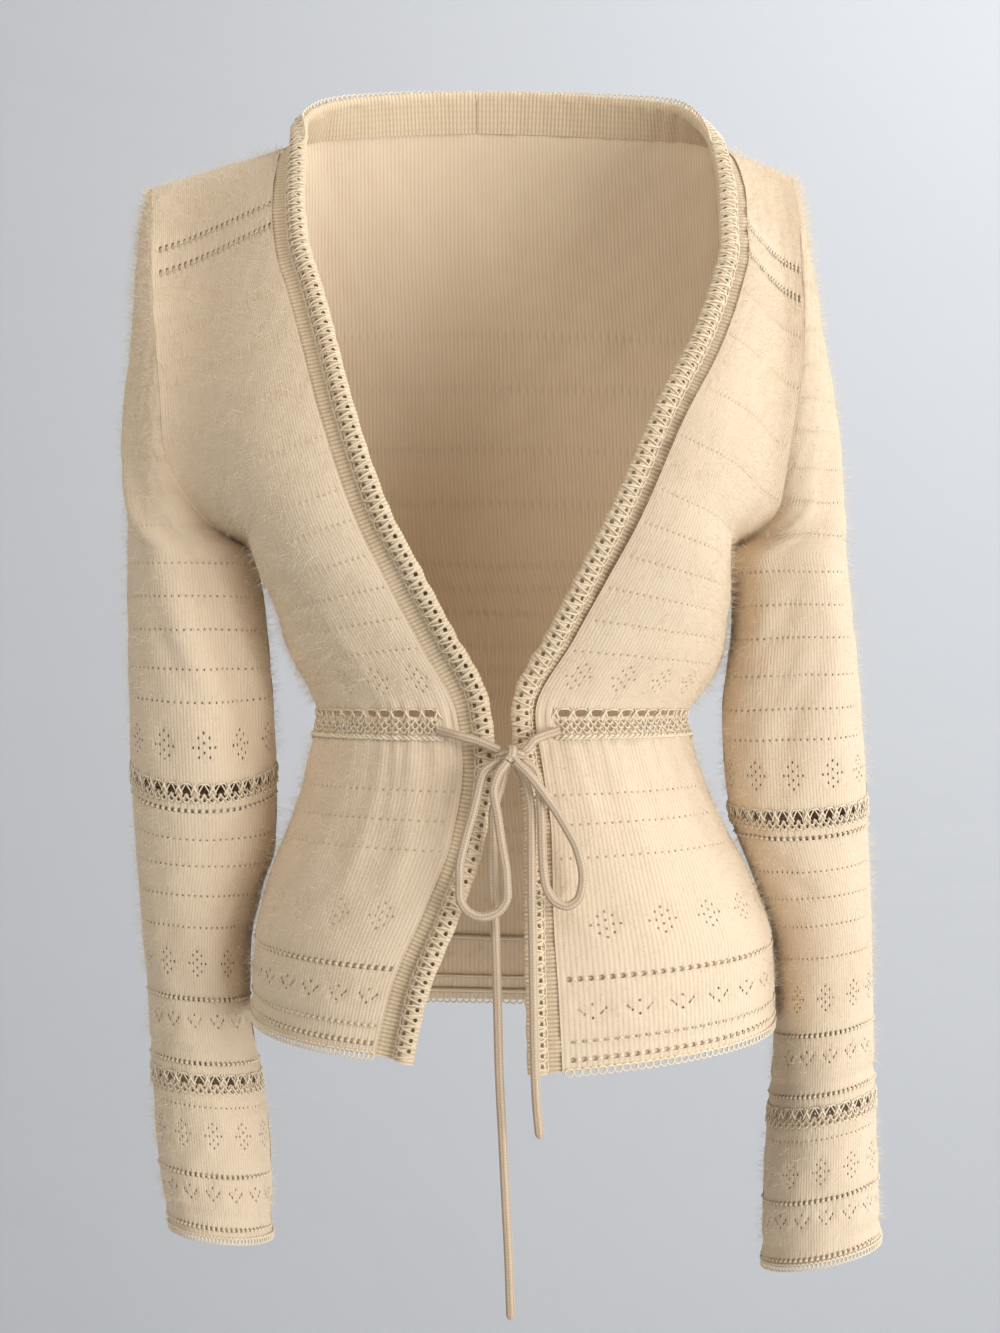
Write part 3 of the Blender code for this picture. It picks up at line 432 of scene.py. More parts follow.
def band_frame(side, along):
    """Place, direction toward the free edge and outward direction of a band, and its width."""
    seam = SIDES[side]["seam"]
    row = seam(along)
    place = row[..., :3] * MM
    ahead = unit(seam(along + 1.0)[..., :3] - seam(along - 1.0)[..., :3])
    sign = 1.0 if side == "right" else -1.0
    level_off = np.clip((along - seam.knots[-2]) / (seam.knots[-1] - seam.knots[-2]), 0, 1)[..., None]
    ahead = unit(ahead * (1 - level_off) + np.array([sign, 0.0, 0.0]) * level_off)
    neck_from, neck_to = seam.knots[NECK_ROW - 3], seam.knots[NECK_ROW]
    neck = np.clip((along - neck_from) / (neck_to - neck_from), 0, 1)[..., None]
    front = np.array([sign, 0.0, 0.0]) + 0 * place
    centre = unit(NECK_MIDDLE - place * np.array([1, 1, 0]))
    toward = front * (1 - neck) + centre * neck
    toward = unit(toward - np.sum(toward * ahead, -1, keepdims=True) * ahead)
    upright = np.cross(ahead, toward) * (-sign)
    stand = np.radians(row[..., 4])[..., None]
    free = np.cos(stand) * toward + np.sin(stand) * upright
    out = -np.sin(stand) * toward + np.cos(stand) * upright
    return place, free, out, row[..., 3] * MM


ROLL_WIDE = 4.6 * MM
ROLL_HIGH = 3.3 * MM
CORD_LIFT = 2.55 * MM
CORD_GAP = 0.65 * MM
CORD_START = 2.5
KNOT_AT = np.array([6.6, -103.6, -365.6]) * MM
KNOT_HALF = np.array([6.0, 5.2, 5.0]) * MM
# Directions in which the stretches of the drawstring leave the knot.
LEAVE = {
    "tie_lead_right": (-0.90, 0.25, 0.35),
    "tie_lead_left": (0.90, 0.25, 0.35),
    "tie_loop_right": (-0.85, -0.30, -0.45),
    "tie_loop_left": (0.85, -0.30, -0.45),
    "tie_end_right": (-0.42, 0.25, -0.87),
    "tie_end_left": (0.45, 0.20, -0.87),
}
# Where a lead comes out of its panel: places across and up.
LEAD_EYELETS = {"tie_lead_right": ("front_right", 0.085, 0.962),
                "tie_lead_left": ("front_left", 0.085, 0.962)}
# The rest of each stretch, from the knot on, in millimetres.
CORD_PATHS = {
    "tie_lead_right": [(-12, -99.0, -358), (-23, -96.5, -355)],
    "tie_lead_left": [(19.5, -99.5, -357)],
    "tie_loop_right": [(-9, -108, -375), (-12, -109.5, -385), (-15, -110.5, -397),
                       (-19.5, -111.5, -413), (-22.5, -112, -429), (-22.5, -112, -443), (-18, -112.5, -452),
                       (-10, -113, -455), (-1, -113.5, -452), (4, -114, -443), (3.5, -114, -431),
                       (1, -113.5, -415), (-1.5, -113, -398), (-3.5, -112.5, -385), (-1.0, -112, -376),
                       (4.2, -110.6, -368.8)],
    "tie_loop_left": [(20, -108, -375), (22, -109.5, -385), (23, -110.5, -400),
                      (23.5, -112, -420), (25, -112.5, -436), (30, -113, -446), (37, -113, -449),
                      (44, -113, -444), (46, -113, -433), (43, -113, -418), (37, -113, -406),
                      (31, -113.5, -396), (24, -115, -386), (17, -114.5, -377), (8.8, -110.8, -368.9)],
    "tie_end_right": [(0, -103.5, -384), (-4.0, -105, -400), (-4, -106, -430),
                      (-2.5, -107, -465), (-1.5, -107, -500), (-0.5, -107, -540), (1.5, -107, -580),
                      (3.5, -107, -620), (5, -107, -650), (6, -107, -680)],
    "tie_end_left": [(15.5, -105.5, -384), (17.5, -108, -398), (17.5, -111, -416),
                     (17.5, -114, -440), (18, -116.5, -470), (18.5, -117.5, -500), (19, -118, -530),
                     (20, -118, -555), (22, -118, -577)],
}


def cord_path(name):
    """All places of a stretch, from the knot to its far end, in millimetres."""
    way = unit(np.array(LEAVE[name]))
    reach = 1 / np.linalg.norm(way / KNOT_HALF)
    start = (KNOT_AT + way * (reach + CORD_GAP)) / MM
    places = [start, start + way * CORD_START] + [np.array(place, float) for place in CORD_PATHS[name]]
    if name in LEAD_EYELETS:
        panel, across, level = LEAD_EYELETS[name]
        at, out = surface(panel)(np.array([across]), np.array([level]))
        places.append((at + CORD_LIFT * out)[0] / MM)
    return places


COLUMN = 1.2 * MM
ROW = 2.4 * MM
COURSE = 1.7 * MM
RIB = 0.09 * MM
BACK_RIB = 0.06 * MM
UNEVEN = 0.05 * MM
RIM_DENT = 0.6 * MM
RIM_LEAST = 0.3
TUBE_WALES = 6.0
WOBBLE = 0.11 * MM
WOBBLES = 6
WOBBLE_TURN = 0.33
GROOVE_WIDE = 0.7
PANEL_COLUMNS = 132
BACK_COLUMNS = 340
EYELET_STEP = 4
PIT = 1.4 * MM
FLOWER_STEP = 24
MOTIF_STEP = 18


class Cloth:
    """A knitted grid with columns half a wale wide, rows along the courses, and round holes.

    place(col, row) gives points and outward directions at grid places, whole or between.
    """

    def __init__(self, name, columns, rows, place, rib):
        self.name = name
        self.columns = columns
        self.rows = rows
        self.place = place
        self.rib = rib
        self.col = np.tile(np.arange(columns + 1.0), (rows + 1, 1))
        self.row = np.tile(np.arange(rows + 1.0)[:, None], (1, columns + 1))
        self.open = np.zeros((rows, columns), bool)
        self.grooves = []
        self.brushed = []
        self.through = True
        self.pits = np.zeros((rows + 1, columns + 1))

    def prick(self, col, row, wide, tall):
        """A small hole, or only a dent where the cloth is not pierced."""
        if self.through:
            self.hole(col, row, wide, tall)
        elif 1 < col < self.columns - 1 and 1 < row < self.rows - 1:
            self.pits[round(row), round(col)] = PIT

    def hole(self, col, row, wide, tall):
        """Cut a round hole, with half widths in columns and rows, and draw its rim to a smooth line."""
        left, right = max(int(col - wide) - 2, 1), min(int(col + wide) + 3, self.columns - 1)
        low, high = max(int(row - tall) - 2, 1), min(int(row + tall) + 3, self.rows - 1)
        if right - left < 3 or high - low < 3:
            return
        j = np.arange(left, right)
        i = np.arange(low, high)[:, None]
        inside = ((j + 0.5 - col) / wide) ** 2 + ((i + 0.5 - row) / tall) ** 2 < 1
        self.open[low:high, left:right] |= inside
        ring = np.pad(inside, 1)
        near = np.stack([ring[:-1, :-1], ring[:-1, 1:], ring[1:, :-1], ring[1:, 1:]])
        rim = near.any(0) & ~near.all(0)
        j = np.arange(left, right + 1.0)
        i = np.arange(low, high + 1.0)[:, None]
        away = np.maximum(np.sqrt(((j - col) / wide) ** 2 + ((i - row) / tall) ** 2), RIM_LEAST)
        window = (slice(low, high + 1), slice(left, right + 1))
        self.col[window] = np.where(rim, col + (j - col) / away, self.col[window])
        self.row[window] = np.where(rim, row + (i - row) / away, self.row[window])
        self.pits[window] = np.where(rim, RIM_DENT, self.pits[window])

    def at(self, col, row, lift):
        """Points above the cloth at grid places, with outward directions. Rows below 0 hang past the edge."""
        col, row = np.broadcast_arrays(np.asarray(col, float), np.asarray(row, float))
        held = np.clip(row, 0, self.rows)
        points, out = self.place(col, held)
        above = self.place(col, np.minimum(held + 1, self.rows))[0]
        points = points + (points - above) * (held - row)[..., None]
        return points + np.asarray(lift)[..., None] * out, out

    def build(self, material):
        """The mesh, with texture places in wales and courses."""
        points, out = self.place(self.col, self.row)
        rise = self.rib * np.cos(np.pi * self.col) - self.pits + RANDOM.normal(0, UNEVEN, self.col.shape)
        for _ in range(WOBBLES):
            across, up = RANDOM.uniform(-WOBBLE_TURN, WOBBLE_TURN, 2)
            wave = np.sin(across * self.col + 2 * up * self.row + RANDOM.uniform(0, 6))
            rise = rise + WOBBLE * wave
        for row, deep in self.grooves:
            rise = rise - deep * bell((self.row - row) / GROOVE_WIDE)
        points = (points + rise[..., None] * out).reshape(-1, 3)
        i, j = np.nonzero(~self.open)
        first = i * (self.columns + 1) + j
        faces = np.stack([first, first + 1, first + self.columns + 2, first + self.columns + 1], -1)
        corners = points[faces]
        flat = np.cross(corners[:, 2] - corners[:, 0], corners[:, 3] - corners[:, 1])
        if np.sum(flat * out.reshape(-1, 3)[faces[:, 0]]) < 0:
            faces = faces[:, ::-1]
        wales = np.stack([self.col.ravel() / 2, self.row.ravel() * ROW / COURSE], -1)
        if self.rib == 0:
            wales = np.stack([self.row.ravel() / 2, self.col.ravel() * COLUMN / COURSE], -1)
        return new_mesh(self.name, points, faces, material, wales)


def new_object(name, data):
    """An object in the scene."""
    item = bpy.data.objects.new(name, data)
    bpy.context.scene.collection.objects.link(item)
    return item


def new_mesh(name, points, faces, material, wales=None):
    """One smooth mesh object from arrays of points and of faces with equal numbers of corners."""
    used, faces = np.unique(faces, return_inverse=True)
    faces = faces.reshape(-1, 4)
    points = points[used]
    mesh = bpy.data.meshes.new(name)
    mesh.vertices.add(len(points))
    mesh.vertices.foreach_set("co", points.ravel())
    mesh.loops.add(faces.size)
    mesh.loops.foreach_set("vertex_index", faces.ravel().astype(np.int32))
    mesh.polygons.add(len(faces))
    mesh.polygons.foreach_set("loop_start", np.arange(len(faces), dtype=np.int32) * 4)
    mesh.polygons.foreach_set("use_smooth", np.ones(len(faces), bool))
    if wales is not None:
        layer = mesh.uv_layers.new(name="wales")
        layer.data.foreach_set("uv", wales[used][faces.ravel()].ravel())
    mesh.update(calc_edges=True)
    mesh.materials.append(material)
    return new_object(name, mesh)


class Strands:
    """Many small tubes gathered into one mesh."""

    def __init__(self):
        self.points, self.faces, self.wales = [], [], []
        self.count = 0

    def add(self, paths, outs, wide, thick=None, sides=5):
        """Tubes along paths of equal numbers of places. wide and thick are half sizes, one for each place."""
        paths = np.asarray(paths, float)
        ahead = unit(np.gradient(paths, axis=1))
        across = unit(np.cross(ahead, outs))
        up = np.cross(across, ahead)
        wide = np.broadcast_to(wide, paths.shape[1])[:, None, None]
        thick = wide if thick is None else np.broadcast_to(thick, paths.shape[1])[:, None, None]
        turn = 2 * math.pi * np.arange(sides)[:, None] / sides
        ring = wide * np.cos(turn) * across[:, :, None] + thick * np.sin(turn) * up[:, :, None]
        points = paths[:, :, None] + ring
        index = self.count + np.arange(points[..., 0].size).reshape(points.shape[:3])
        beside = np.roll(index, -1, axis=2)
        faces = np.stack([index[:, :-1], beside[:, :-1], beside[:, 1:], index[:, 1:]], -1)
        along = np.array([lengths_along(path) for path in paths])
        round_share = np.broadcast_to(np.arange(sides) * TUBE_WALES / sides, points.shape[:3])
        wales = np.stack([round_share, np.broadcast_to(along[..., None] / COURSE, points.shape[:3])], -1)
        self.points.append(points.reshape(-1, 3))
        self.faces.append(faces.reshape(-1, 4))
        self.wales.append(wales.reshape(-1, 2))
        self.count += self.points[-1].shape[0]

    def build(self, name, material):
        """One mesh of all the tubes."""
        return new_mesh(name, np.vstack(self.points), np.vstack(self.faces), material, np.vstack(self.wales))


def on_cloth(strands, cloth, cols, rows, lift, wide):
    """Strands laid on a cloth through grid places, of shape (strands, places)."""
    paths, outs = cloth.at(cols, rows, lift)
    strands.add(paths, outs, wide)


def stitches(strands, cloth, middles, row, across, up, lift, wide):
    """One strand at each middle column, through places across and up from it."""
    cols = middles[:, None] + across
    on_cloth(strands, cloth, cols, row + up + 0 * cols, lift, wide)


STRAND = 0.50 * MM
BEAD = 0.78 * MM
TAPER = np.array([0.45, 1.0, 1.0, 0.45])
FLOAT_LIFT = -1.7 * MM
FLOAT_THICK = 0.3 * MM
FLOAT_SPARE = 1.25
floats = {"body": Strands(), "sleeves": Strands()}


def float_row(cloth, row, tall):
    """A flat float of yarn on the wrong side, behind a row of holes."""
    cols = np.arange(1.0, cloth.columns, 2.0)[None]
    paths, outs = cloth.at(cols, row + 0 * cols, FLOAT_LIFT)
    group = floats["sleeves" if cloth.name.startswith("sleeve") else "body"]
    group.add(paths, outs, FLOAT_SPARE * tall * ROW, FLOAT_THICK, 4)


# Half sizes of holes in columns and rows, and the places of the stitch beside an eyelet.
EYELET = (1.2, 0.6)
SKIRT_EYELET = (1.25, 0.62)
SHOULDER_EYELET = (1.6, 1.1)
HEM_EYELET = (0.7, 0.34)
PINHOLE = (0.58, 0.28)
MOTIF_HOLE = (0.7, 0.32)
NET_HOLE = (0.85, 0.42)
BESIDE_ACROSS = np.array([-0.8, -0.3, 0.3, 0.8])
BESIDE_UP = np.array([-0.5, -0.05, 0.05, -0.4])
BESIDE_LIFT = np.array([0.0, 0.5, 0.5, 0.0]) * MM


def eyelet_row(cloth, strands, row, size=EYELET, step=EYELET_STEP, bead=BEAD):
    """A row of eyelets, each with a silky stitch beside it, and a float of yarn behind them."""
    row = math.floor(row) + 0.5
    cloth.brushed.append(row)
    float_row(cloth, row, size[1])
    middles = np.arange(4, cloth.columns - 2, step)
    for col in middles:
        cloth.hole(col, row, *size)
    stitches(strands, cloth, middles + step / 2, row, BESIDE_ACROSS, BESIDE_UP, BESIDE_LIFT, bead * TAPER)


def pinhole_row(cloth, row, shift):
    """A faint row of small holes."""
    row = math.floor(row) + 0.5
    for col in np.arange(4 + shift, cloth.columns - 3, EYELET_STEP):
        cloth.prick(col, row, *PINHOLE)


# Places of the small holes of one flower and one chevron: columns and rows from the middle.
FLOWER = [(0, 3), (-3, 2), (3, 2), (0, 1), (-6, 0), (-3, 0), (3, 0), (6, 0), (0, -1), (-3, -2), (3, -2),
          (0, -3)]
CHEVRON = [(-5, 2), (-3, 1), (0, 0), (3, 1), (5, 2), (0, 3)]
CHEVRON_TALL = 3


def motif_row(cloth, row, motif, step, start):
    """A row of charted motifs made of small holes."""
    row = math.floor(row) + 0.5
    for middle in range(start, cloth.columns - 8, step):
        for col, up in motif:
            cloth.prick(middle + col, row + up, *MOTIF_HOLE)


def chevron_row(cloth, row, start):
    """A row of chevrons, with a float behind them where they are holes."""
    motif_row(cloth, row, CHEVRON, MOTIF_STEP, start)
    if cloth.through:
        float_row(cloth, row + CHEVRON_TALL / 2, CHEVRON_TALL / 2 + 0.5)


# Strands of a lace row, as shares of its pitch across and of its height up.
LACE_HOLE = 0.37
LACE_LIFT = np.array([0.5, 0.9, 0.9, 0.5]) * MM
TWIST_ACROSS = np.array([-0.35, 0.0, 0.35, 0.75])
ARCH_ACROSS = np.array([-0.42, -0.2, 0.2, 0.42])
ARCH_UP = np.array([0.35, 1.02, 1.02, 0.35])
LEG_ACROSS = np.array([0.05, 0.4, 0.75, 1.0])
LEG_UP = np.array([1.0, 0.35, -0.4, -1.0])
NET_ACROSS = np.array([-0.25, -0.08, 0.08, 0.25])
NET_UP = np.array([0.45, -0.55, -0.55, 0.45])


def lace_row(cloth, strands, middles, row, pitch, tall, net_rows, legs=False):
    """Large holes, twisted strands between them, and a net of small holes and loops below."""
    row = math.floor(row) + 0.5
    cloth.brushed += [row, row - 3]
    for col in middles:
        cloth.hole(col, row, LACE_HOLE * pitch, tall)
    between = np.concatenate([middles - pitch / 2, middles[-1:] + pitch / 2])
    between = np.clip(between, 0, cloth.columns)
    twist_up = np.array([tall + 0.3, 0.25, -0.4 * tall, -tall - 0.35])
    for lean in (-0.3, 0.3):
        across = lean * pitch * TWIST_ACROSS
        stitches(strands, cloth, between, row, across, twist_up, LACE_LIFT, STRAND * 1.25 * TAPER)
    across = pitch * ARCH_ACROSS
    stitches(strands, cloth, middles, row, across, tall * ARCH_UP, LACE_LIFT * 0.6, STRAND * TAPER)
    for lean in (-0.34, 0.34) if legs else ():
        across = lean * pitch * LEG_ACROSS
        stitches(strands, cloth, middles, row, across, tall * LEG_UP, LACE_LIFT * 0.4, STRAND * 0.9)
    small = np.concatenate([middles - pitch / 4, middles + pitch / 4])
    for step in range(net_rows):
        below = math.floor(row - tall - 0.9 - 1.0 * step) + 0.5
        shift = (step % 2) * pitch / 4
        for col in small:
            cloth.hole(round(col + shift), below, *NET_HOLE)
        ends = np.sort(small) + shift
        stitches(strands, cloth, ends, below, pitch * NET_ACROSS, NET_UP, LACE_LIFT, STRAND * 1.15 * TAPER)


CHAIN_PITCH = 6.4
CHAIN_SWING = 0.34
CHAIN_WIDE = 0.8 * MM


def chain(cloth, strands, row, first_col):
    """Two strands twisted round each other along a row."""
    cols = np.arange(first_col, cloth.columns, 0.7)
    for phase in (0.0, math.pi):
        turn = cols * 2 * math.pi / CHAIN_PITCH + phase
        lift = (1.0 + 0.7 * np.cos(turn)) * MM
        rows = row + CHAIN_SWING * np.sin(turn)
        on_cloth(strands, cloth, cols[None], rows[None], lift[None], CHAIN_WIDE)


# One picot loop, and the crochet stitch over its foot.
PICOT_STEP = 3.0
PICOT_ACROSS = PICOT_STEP * np.array([0.0, -0.06, 0.22, 0.5, 0.78, 1.06, 1.0])
PICOT_UP = np.array([0.3, -0.35, -0.9, -1.1, -0.9, -0.35, 0.3])
PICOT_LIFT = np.array([0.2, 0.5, 0.6, 0.6, 0.6, 0.5, 0.2]) * MM
FOOT_ACROSS = PICOT_STEP * np.array([-0.15, 0.3, 0.7, 1.15])
FOOT_UP = np.array([0.15, 0.55, 0.55, 0.15])
FOOT_LIFT = np.array([0.3, 0.9, 0.9, 0.3]) * MM


def picot_edge(cloth, strands, drop):
    """Loops crocheted along the first row, and a stitch over each foot."""
    first = np.arange(1.0, cloth.columns - PICOT_STEP, PICOT_STEP)
    stitches(strands, cloth, first, 0, PICOT_ACROSS, PICOT_UP * drop, PICOT_LIFT, STRAND * 1.1)
    stitches(strands, cloth, first, 0, FOOT_ACROSS, FOOT_UP, FOOT_LIFT, STRAND * 1.3 * TAPER)


def even_levels(name, across):
    """Levels that lie a row apart up a body panel, measured along one column."""
    levels = np.linspace(0, 3, 900)
    run = lengths_along(surface(name)(np.full(900, across), levels)[0])
    return np.interp(np.linspace(0, run[-1], round(run[-1] / ROW) + 1), run, levels)


def panel_cloth(name, columns, low, levels):
    """The grid of a panel from a place across to its edge at 1, and a way from levels to rows."""
    place = surface(name)
    count = np.arange(len(levels), dtype=float)

    def at(col, row):
        return place(low + (1 - low) * col / columns, np.interp(row, count, levels))

    order = np.argsort(levels)

    def row_of(level):
        return float(np.interp(level, np.asarray(levels)[order], count[order]))

    return Cloth(name, columns, len(levels) - 1, at, BACK_RIB if name == "back" else RIB), row_of


def maths(tree, operation, *values):
    """A math node on sockets or numbers, giving its output."""
    item = tree.nodes.new("ShaderNodeMath")
    item.operation = operation
    for socket, value in zip(item.inputs, values):
        if isinstance(value, (int, float)):
            socket.default_value = value
        else:
            tree.links.new(value, socket)
    return item.outputs[0]


def node(tree, kind, **values):
    """A node with some of its inputs set by name."""
    item = tree.nodes.new("ShaderNode" + kind)
    for name, value in values.items():
        item.inputs[name].default_value = value
    return item


def new_material(name, values):
    """A material with some of its shader's inputs set by name, its node tree and its shader."""
    material = bpy.data.materials.new(name)
    material.use_nodes = True
    shader = material.node_tree.nodes["Principled BSDF"]
    for socket, value in values.items():
        shader.inputs[socket].default_value = value
    return material, material.node_tree, shader


def add_relief(tree, shader, height, strength, distance):
    """A bump from a height socket."""
    relief = node(tree, "Bump", Strength=strength, Distance=distance)
    tree.links.new(height, relief.inputs["Height"])
    tree.links.new(relief.outputs[0], shader.inputs["Normal"])


SHEEN_TINT = (1.0, 0.95, 0.86, 1)
LEG_LEAN = 0.6
# Weights in the colour: painted shade between the stitches, then fibre tone and slow tone.
STITCH_SHADE, TONE_FIBRE, TONE_SLOW = 0.55, 0.35, 0.25
TONE_LOW, TONE_HIGH = 0.22, 0.82
SLOW_SCALE = 26.0
RELIEF_FIBRE = 0.6


def knit_material(name, deep, light, rough, sheen, bump, grain, stitch=0.35):
    """Stocking stitch: leaning legs in columns, soft fibres, slow changes of tone. The colour also carries
    painted shade, from deep in the grooves between wales and legs to light on the stitch crowns.
    """
    material, tree, shader = new_material(name, {
        "Roughness": rough, "Sheen Weight": sheen, "Sheen Roughness": 0.45, "Sheen Tint": SHEEN_TINT,
        "Specular IOR Level": 0.25})
    do = partial(maths, tree)
    places = tree.nodes.new("ShaderNodeUVMap")
    places.uv_map = "wales"
    split = node(tree, "SeparateXYZ")
    tree.links.new(places.outputs["UV"], split.inputs[0])
    wale = do("FRACT", do("ADD", split.outputs["X"], 0.5))
    off = do("MULTIPLY", do("ABSOLUTE", do("SUBTRACT", wale, 0.5)), 2.0)
    leg = do("FRACT", do("ADD", split.outputs["Y"], do("MULTIPLY", off, LEG_LEAN)))
    leg = do("SUBTRACT", 1.0, do("ABSOLUTE", do("SUBTRACT", do("MULTIPLY", leg, 2.0), 1.0)))
    crown = do("SUBTRACT", 1.0, do("MULTIPLY", off, off))
    high = do("MULTIPLY", do("MULTIPLY_ADD", leg, stitch, 1.0 - stitch), crown)
    where = node(tree, "TexCoord")
    fibre = node(tree, "TexNoise", Scale=grain, Detail=3.0, Roughness=0.7)
    slow = node(tree, "TexNoise", Scale=SLOW_SCALE, Detail=4.0)
    for noise in (fibre, slow):
        tree.links.new(where.outputs["Object"], noise.inputs["Vector"])
    # The stitch height paints shade into the colour: darker in the grooves between wales and between legs.
    shade_and_tone = do("ADD", do("MULTIPLY", high, STITCH_SHADE), do("MULTIPLY", fibre.outputs[0], TONE_FIBRE))
    shade_and_tone = do("ADD", shade_and_tone, do("MULTIPLY", slow.outputs[0], TONE_SLOW))
    ramp = node(tree, "ValToRGB")
    for stop, position, colour in zip(ramp.color_ramp.elements, (TONE_LOW, TONE_HIGH), (deep, light)):
        stop.position = position
        stop.color = (*colour, 1)
    tree.links.new(shade_and_tone, ramp.inputs[0])
    tree.links.new(ramp.outputs[0], shader.inputs["Base Color"])
    height = do("ADD", high, do("MULTIPLY", fibre.outputs[0], RELIEF_FIBRE))
    add_relief(tree, shader, height, bump, 0.5 * MM)
    return material


# Each knit runs from its deep colour, painted shade in the grooves together with the darker random tone, to
# its light colour on the stitch crowns.
KNIT = knit_material("knit_angora", (0.725, 0.562, 0.392), (0.843, 0.705, 0.54), 0.85, 0.4, 0.42, 900.0)
BACK_KNIT = knit_material("knit_plain", (0.74, 0.57, 0.385), (0.86, 0.72, 0.545), 0.85, 0.4, 0.4, 900.0)
BAND_KNIT = knit_material("knit_band", (0.60, 0.43, 0.26), (0.86, 0.71, 0.51), 0.8, 0.25, 0.6, 900.0)
SILK = knit_material("silk_strand", (0.74, 0.60, 0.42), (0.95, 0.86, 0.69), 0.32, 0.1, 0.2, 1400.0)
CORD_KNIT = knit_material("tie_knit", (0.47, 0.345, 0.235), (0.79, 0.645, 0.48), 0.55, 0.15, 0.8, 1100.0, 0.6)
HALO = knit_material("halo_fibre", (0.82, 0.70, 0.53), (0.92, 0.82, 0.65), 0.6, 0.2, 0.0, 300.0)


def dress(item, slot, *nodes):
    """A piece that rides on the cardigan, and stands for CAD nodes where it has any."""
    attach(item, "root")
    if nodes:
        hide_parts(*nodes)


# Camera as the photograph's, level with the middle of the picture, in pixels of a 1000 x 1333 image.
IMAGE_TALL = 1333
FOCAL = 2500
EYE = (0.0, -1.5, -0.316)
view = bpy.data.cameras.new("camera")
view.sensor_fit = "VERTICAL"
view.sensor_height = 36.0
view.lens = FOCAL / IMAGE_TALL * view.sensor_height
camera = new_object("camera", view)
camera.location = EYE
camera.rotation_euler = (math.pi / 2, 0, 0)
bpy.context.scene.camera = camera

# The bow: a flat knitted tube along each stretch.
CORD_WIDE = 2.35 * MM
CORD_THICK = 1.55 * MM
CORD_STEP = 1.2
CORD_SIDES = 20
CORD_RIBS = 6
CORD_RIB_HIGH = 0.09
CORD_TIP = 0.45
FORWARD = np.array([0.0, -1.0, 0.0])
# The two leads are held at both ends and go with the free ends of their side; the loops and the ends hang.
# The lay is listed but not acted on.
CORD_LAY = {"tie_lead_right": None, "tie_lead_left": None,
            "tie_loop_right": ("object", "hanging"), "tie_loop_left": ("object", "hanging"),
            "tie_end_right": ("bare", "hanging"), "tie_end_left": ("bare", "hanging")}


def flat_cord(strands, places, tip):
    """A flat tube with lengthwise ribs along places in metres, broad side to the front, with round tips."""
    path = np.asarray(places)[None]
    outs = np.broadcast_to(FORWARD, path.shape)
    end = np.minimum(1, np.linspace(0, 1, path.shape[1]) * path.shape[1] / 3 + CORD_TIP)
    shape = end if not tip else end * end[::-1]
    strands.add(path, outs, CORD_WIDE * shape, CORD_THICK * shape, CORD_SIDES)
    points = strands.points[-1].reshape(path.shape[1], CORD_SIDES, 3)
    rib = 1 + CORD_RIB_HIGH * np.cos(CORD_RIBS * 2 * math.pi * np.arange(CORD_SIDES) / CORD_SIDES)
    points[:] = path[0][:, None] + (points - path[0][:, None]) * rib[:, None]


for stretch, free_cord in CORD_LAY.items():
    knots = Table([Seam(*place, 0, 0) for place in cord_path(stretch)])
    length = knots.knots[-1]
    route = knots(np.linspace(0, length, round(length / CORD_STEP) + 1))[:, :3] * MM
    piece_strands = Strands()
    flat_cord(piece_strands, route, stretch.startswith("tie_end"))
    piece = piece_strands.build(stretch + "_knit", CORD_KNIT)
    dress(piece, "tie_cord", stretch)
    if free_cord:
        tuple(route[0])

# The knot: a wrap in front, two strands through it, and the ends of the loops that go back under it.
WRAP_FROM, WRAP_TO = 230, -50
WRAP_DEEP, WRAP_HIGH = 6.0, 4.6
WRAP_SIZE = (2.5 * MM, 1.25 * MM)
THROUGH_SIZE = (2.3 * MM, 1.7 * MM)
knot_strands = Strands()
turn = np.radians(np.linspace(WRAP_FROM, WRAP_TO, 22))
wrap = np.stack([0.6 * np.sin(2 * turn), WRAP_DEEP * -np.sin(turn), WRAP_HIGH * np.cos(turn)], -1)
wrap = wrap * MM + KNOT_AT
outward = np.stack([0 * turn, -np.sin(turn), np.cos(turn)], -1)
knot_strands.add(wrap[None], outward[None], *WRAP_SIZE, 16)
share = np.linspace(-1, 1, 16)
for low in (-1.0, 1.2):
    bulge = -1.6 * np.cos(share * 1.4) + 0.8
    through = np.stack([6.4 * share, bulge, low - 1.6 * share ** 2], -1) * MM + KNOT_AT
    knot_strands.add(through[None], np.broadcast_to(FORWARD, (1, 16, 3)), *THROUGH_SIZE, 16)
# Where the second strand of each loop goes back under the wrap.
LOOP_RETURNS = [[(4.2, -110.6, -368.8), (5.2, -109.4, -367.2), (6.0, -107.5, -365.6)],
                [(8.8, -110.8, -368.9), (7.8, -109.5, -367.2), (7.0, -107.5, -365.6)]]
for places in LOOP_RETURNS:
    knots = Table([Seam(*place, 0, 0) for place in places])
    route = knots(np.linspace(0, knots.knots[-1], 8))[None, :, :3] * MM
    knot_strands.add(route, np.broadcast_to(FORWARD, route.shape), CORD_WIDE, CORD_THICK, CORD_SIDES)
dress(knot_strands.build("tie_knot_knit", CORD_KNIT), "tie_cord", "tie_knot")

